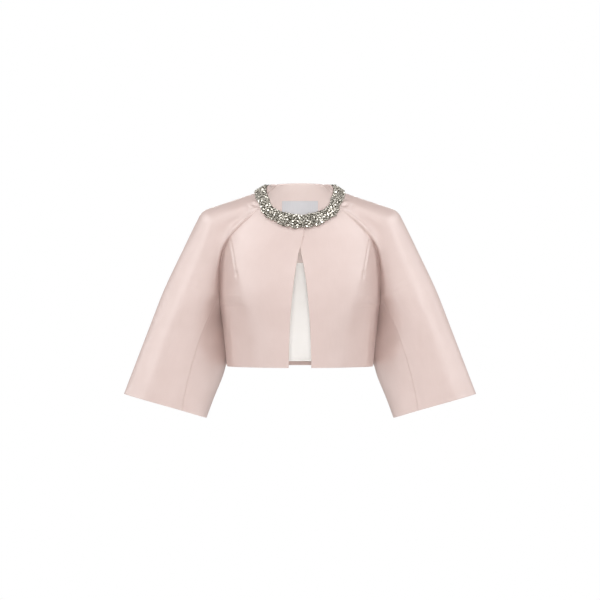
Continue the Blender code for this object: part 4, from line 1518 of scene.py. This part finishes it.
# Past the band's foot the jewels reach this share of its width, in front and at the sides
FRONT_OVERHANG = 0.13
SIDE_OVERHANG = -0.05
OVERHANG_START = 0.030
OVERHANG_CHANGE = 0.030
# The jewels keep this far below the edge of the neck, as a share of the band's width: more so behind
FRONT_MARGIN = 0.06
BACK_MARGIN = 0.30
MARGIN_START = 0.004
MARGIN_CHANGE = 0.020


def neck_margin(points):
    """Share of the band left bare below the neck edge."""
    return BACK_MARGIN + (FRONT_MARGIN - BACK_MARGIN) * fade(points[..., 1], MARGIN_START, MARGIN_CHANGE)


def foot_overhang(points):
    """Share of the band's width that the jewels reach past its foot."""
    ahead = fade(np.abs(points[..., 0]), OVERHANG_START, OVERHANG_CHANGE)
    return SIDE_OVERHANG + (FRONT_OVERHANG - SIDE_OVERHANG) * ahead


def scattered():
    """Places for the stones: larger ones first, each clear of those already there."""
    kept_points, kept_sizes, chosen = np.zeros((0, 3)), np.zeros(0), []
    for kind, sides, half, height, wanted, apart in STONES:
        size = half * MM * apart
        found = 0
        shares_along = random.random(wanted * TRIES_PER_STONE)
        shares_down = random.uniform(0, 1 + FRONT_OVERHANG, wanted * TRIES_PER_STONE)
        points, normals, across = band_place(shares_along, shares_down)
        room = EDGE_ROOM * half * MM / BAND_WIDTH
        above, below = neck_margin(points) + room, 1 + foot_overhang(points) - room
        allowed = (shares_down >= above) & (shares_down <= below)
        for i in np.flatnonzero(allowed):
            if found == wanted:
                break
            gap = np.linalg.norm(kept_points - points[i], axis=1)
            if np.any(gap < CROWDING * (kept_sizes + size)):
                continue
            kept_points = np.concatenate([kept_points, points[i : i + 1]])
            kept_sizes = np.append(kept_sizes, size)
            chosen.append((kind, sides, half * MM, height * MM, points[i], normals[i], across[i]))
            found += 1
    return chosen, kept_points, kept_sizes


def stone_axes(normal, across, tilt):
    """Right-handed axes of a stone: its length, its width and the way that it looks."""
    up = unit(normal + tilt * random.normal(size=3))
    turn = random.uniform(0, 2 * math.pi)
    first = unit(np.cross(up, across))
    second = np.cross(up, first)
    length = first * math.cos(turn) + second * math.sin(turn)
    return np.stack([length, np.cross(up, length), up])


def painted_reflection_tones(count):
    """Tones of facets as painted reflections: most middling, some dark, a few a bright painted glint, as the
    last, the table, often is.
    """
    kind = random.random(count)
    middling, dark, flash = (random.uniform(*t, count) for t in (MIDDLING_TONES, DARK_REFLECTION_TONES, PAINTED_GLINT_TONES))
    tones = np.where(kind < DARK_SHARE, dark, np.where(kind < CALM_SHARE, middling, flash))
    tones[-1] = flash[-1] if kind[-1] < TABLE_GLINT_SHARE else middling[-1]
    return tones


def add_stone(stones, settings, kind, sides, half, height, point, normal, across):
    """Cut stone in a cup with claws, set at a random tilt, turn and lift."""
    axes = stone_axes(normal, across, STONE_TILT)
    corners = outline(kind, sides)
    between = (corners + np.roll(corners, -1, 0)) / 2
    lift = random.uniform(*STONE_LIFT) * MM
    centre = point + normal * lift

    def ring(scale, level, edge=corners):
        return centre + (edge * half * scale) @ axes[:2] + axes[2] * level

    n = sides
    rings = [ring(scale, level * height) for scale, level in STONE_RINGS]
    rings.append(ring(TABLE_SIZE, height, between))
    faces = ring_faces(0, n, n)
    for i in range(n):
        faces.append((n + i, n + (i + 1) % n, 2 * n + i))
        faces.append((n + (i + 1) % n, 2 * n + (i + 1) % n, 2 * n + i))
    faces.append(tuple(range(2 * n, 3 * n)))
    # The stones' facets get painted reflections and glints as their tone
    stones.add(np.concatenate(rings), faces, painted_reflection_tones(len(faces)))
    cup = [ring(CUP_FOOT, -CUP_DEPTH - lift)] + [ring(scale, level * height) for scale, level in CUP_RINGS]
    faces = [face for i in range(len(CUP_RINGS)) for face in ring_faces(i * n, (i + 1) * n, n)]
    settings.add(np.concatenate(cup), faces, np.repeat(random.uniform(*CUP_TONES), len(faces)))
    for place in ring(CLAW_OUT, CLAW_HEIGHT * height)[::CLAW_STEP]:
        add_bead(settings, place, axes, CLAW_SIZE + CLAW_GROWTH * half, random.uniform(*CLAW_TONES))


def add_bead(heap, centre, axes, size, tone):
    """Small round bead of three rings and two poles."""
    sides = BEAD_SIDES
    round_it = circle(sides) @ axes[:2]
    points = [centre + size * (round_it * wide + axes[2] * level) for wide, level in BEAD_RINGS]
    points.append(np.array([centre - axes[2] * size, centre + axes[2] * size]))
    faces = ring_faces(0, sides, sides) + ring_faces(sides, 2 * sides, sides)
    for i in range(sides):
        faces.append((3 * sides, (i + 1) % sides, i))
        faces.append((3 * sides + 1, 2 * sides + i, 2 * sides + (i + 1) % sides))
    heap.add(np.concatenate(points), faces, np.full(len(faces), tone))


stones, settings = Heap(), Heap()
placed, stone_points, stone_sizes = scattered()
for stone in placed:
    add_stone(stones, settings, *stone)
bead_rows = random.uniform(0, BEAD_FOOT, BEAD_COUNT)
bead_places = band_place(random.random(BEAD_COUNT), bead_rows)
bead_kept = bead_rows >= neck_margin(bead_places[0])
for point, normal, across in zip(*(values[bead_kept] for values in bead_places)):
    if np.all(np.linalg.norm(stone_points - point, axis=1) > BEAD_CROWDING * stone_sizes):
        size = BEAD_SIZE * random.uniform(*BEAD_SPREAD)
        axes = stone_axes(normal, across, 0.0)
        add_bead(settings, point + normal * size * BEAD_LIFT, axes, size, random.uniform(*BEAD_TONES))

# Base strip: how finely it is divided, the part of the bare margin that it leaves at the neck, and the
# share of the band's width where it ends
BASE_ROWS = 12
BASE_COLUMNS = 240
BASE_MARGIN = 0.75
BASE_FOOT = 0.85


def base_strip():
    """Strip under the jewels, from just below the neck edge to just above the band's foot."""
    along_it, down_it = lattice(shares(BASE_ROWS), shares(BASE_COLUMNS))
    edge = band_place(along_it.ravel(), np.zeros(along_it.size))[0]
    top = neck_margin(edge).reshape(along_it.shape) * BASE_MARGIN
    down_it = top + (BASE_FOOT - top) * down_it
    points, normals, _ = band_place(along_it.ravel(), down_it.ravel())
    return Cloth(points.reshape(*along_it.shape, 3), normals.reshape(*along_it.shape, 3))


band_piece = shell("neck_band_base", base_strip(), BAND_WALL, (SETTING,), "tbse")
tone_layer = band_piece.data.color_attributes.new("tone", "FLOAT_COLOR", "POINT")
tone_layer.data.foreach_set("color", np.full(4 * len(band_piece.data.vertices), BASE_TONE, np.float32))
stone_piece = stones.made("neck_band_stones", GLINT_PAINTED_CRYSTAL, False)
setting_piece = settings.made("neck_band_settings", SETTING, True)


# What each piece stands for: it hangs from the root in place of its imported part, which is hidden. Left and
# right are cut alike.

for node, piece in cloth_pieces.items():
    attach(piece, "root")
    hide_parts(node)

for piece in (band_piece, stone_piece, setting_piece):
    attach(piece, "root")
    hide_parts("neck_band")


# Floor, light and camera

FLOOR_HEIGHT = -1.25
FLOOR_RADIUS = 2.4
FLOOR_SIDES = 96
FLOOR_GRAIN = 60.0
FLOOR_TONES = (0.80, 0.80, 0.80, 1), (0.86, 0.86, 0.86, 1)


def floor():
    """Pale round floor far below the jacket."""
    points = np.column_stack([FLOOR_RADIUS * circle(FLOOR_SIDES), np.full(FLOOR_SIDES, FLOOR_HEIGHT)])
    nodes = Nodes("pale_floor")
    fine = nodes.noise(nodes.place(), FLOOR_GRAIN, detail=3.0)
    nodes.set(Base_Color=nodes.mixed(fine, *FLOOR_TONES), Roughness=0.7)
    return finished("floor", points, [tuple(range(len(points)))], (nodes.material,), [0])


floor()


def softbox(name, place, size, power, glossy):
    """Studio light with soft shadows, turned to the jacket. Where it isn't glossy it leaves no shine."""
    data = bpy.data.lights.new(name, "AREA")
    data.shape = "RECTANGLE"
    data.size, data.size_y = size
    data.energy = power
    obj = bpy.data.objects.new(name, data)
    obj.location = place
    obj.visible_glossy = glossy
    obj.rotation_mode = "QUATERNION"
    obj.rotation_quaternion = (Vector(LIT_POINT) - Vector(place)).to_track_quat("-Z", "Y")
    bpy.context.scene.collection.objects.link(obj)


# The point that the lights face, and each light's place, width and height, power in watts, and whether it
# is glossy. Those of the first table stand on both sides.
LIT_POINT = (0.0, 0.0, -0.2)
SIDE_LIGHTS = {
    "side_light": ((3.0, -1.65, 0.5), (1.0, 1.8), 25, True),
    "side_back_light": ((3.1, 1.1, 0.2), (1.2, 2.0), 16, True),
    "high_light": ((2.3, -1.5, 2.2), (1.2, 1.2), 19, True),
    "high_back_light": ((2.3, 0.7, 2.1), (1.4, 1.4), 23, True),
}
CENTRE_LIGHTS = {
    "front_light": ((0.0, -4.6, -0.1), (0.35, 0.6), 92, False),
    "front_wide_light": ((0.0, -3.8, 0.9), (3.4, 1.6), 30, True),
    "back_light": ((0.0, 4.6, 0.4), (1.6, 1.6), 104, True),
    "top_light": ((0.0, -1.2, 2.7), (2.4, 1.6), 19, True),
}
for side in (-1, 1):
    for name, ((out, *rest), *light) in SIDE_LIGHTS.items():
        softbox(f"{name}_{side}", (side * out, *rest), *light)
for name, light in CENTRE_LIGHTS.items():
    softbox(name, *light)

BACKDROP = (1.0, 1.0, 1.0, 1)
AMBIENT = (0.24, 0.238, 0.236, 1)


def studio():
    """White surroundings for the camera, dimmer for the light they give."""
    world = bpy.data.worlds.new("studio")
    world.use_nodes = True
    nodes, links = world.node_tree.nodes, world.node_tree.links
    shown = nodes["Background"]
    shown.inputs["Color"].default_value = BACKDROP
    given = nodes.new("ShaderNodeBackground")
    given.inputs["Color"].default_value = AMBIENT
    mix, path = nodes.new("ShaderNodeMixShader"), nodes.new("ShaderNodeLightPath")
    links.new(path.outputs["Is Camera Ray"], mix.inputs["Fac"])
    links.new(given.outputs["Background"], mix.inputs[1])
    links.new(shown.outputs["Background"], mix.inputs[2])
    links.new(mix.outputs["Shader"], nodes["World Output"].inputs["Surface"])
    bpy.context.scene.world = world


studio()

CAMERA_PLACE = (0.0, -4.5, -0.231)
VIEW_HALF_WIDTH = 0.63


def camera():
    """Camera level with the middle of the photo, far in front."""
    data = bpy.data.cameras.new("camera")
    data.sensor_fit = "HORIZONTAL"
    data.angle = 2 * math.atan(VIEW_HALF_WIDTH / -CAMERA_PLACE[1])
    obj = bpy.data.objects.new("camera", data)
    obj.location = CAMERA_PLACE
    obj.rotation_euler = (math.pi / 2, 0, 0)
    bpy.context.scene.collection.objects.link(obj)
    bpy.context.scene.camera = obj


camera()
bpy.context.scene.view_settings.view_transform = "Standard"
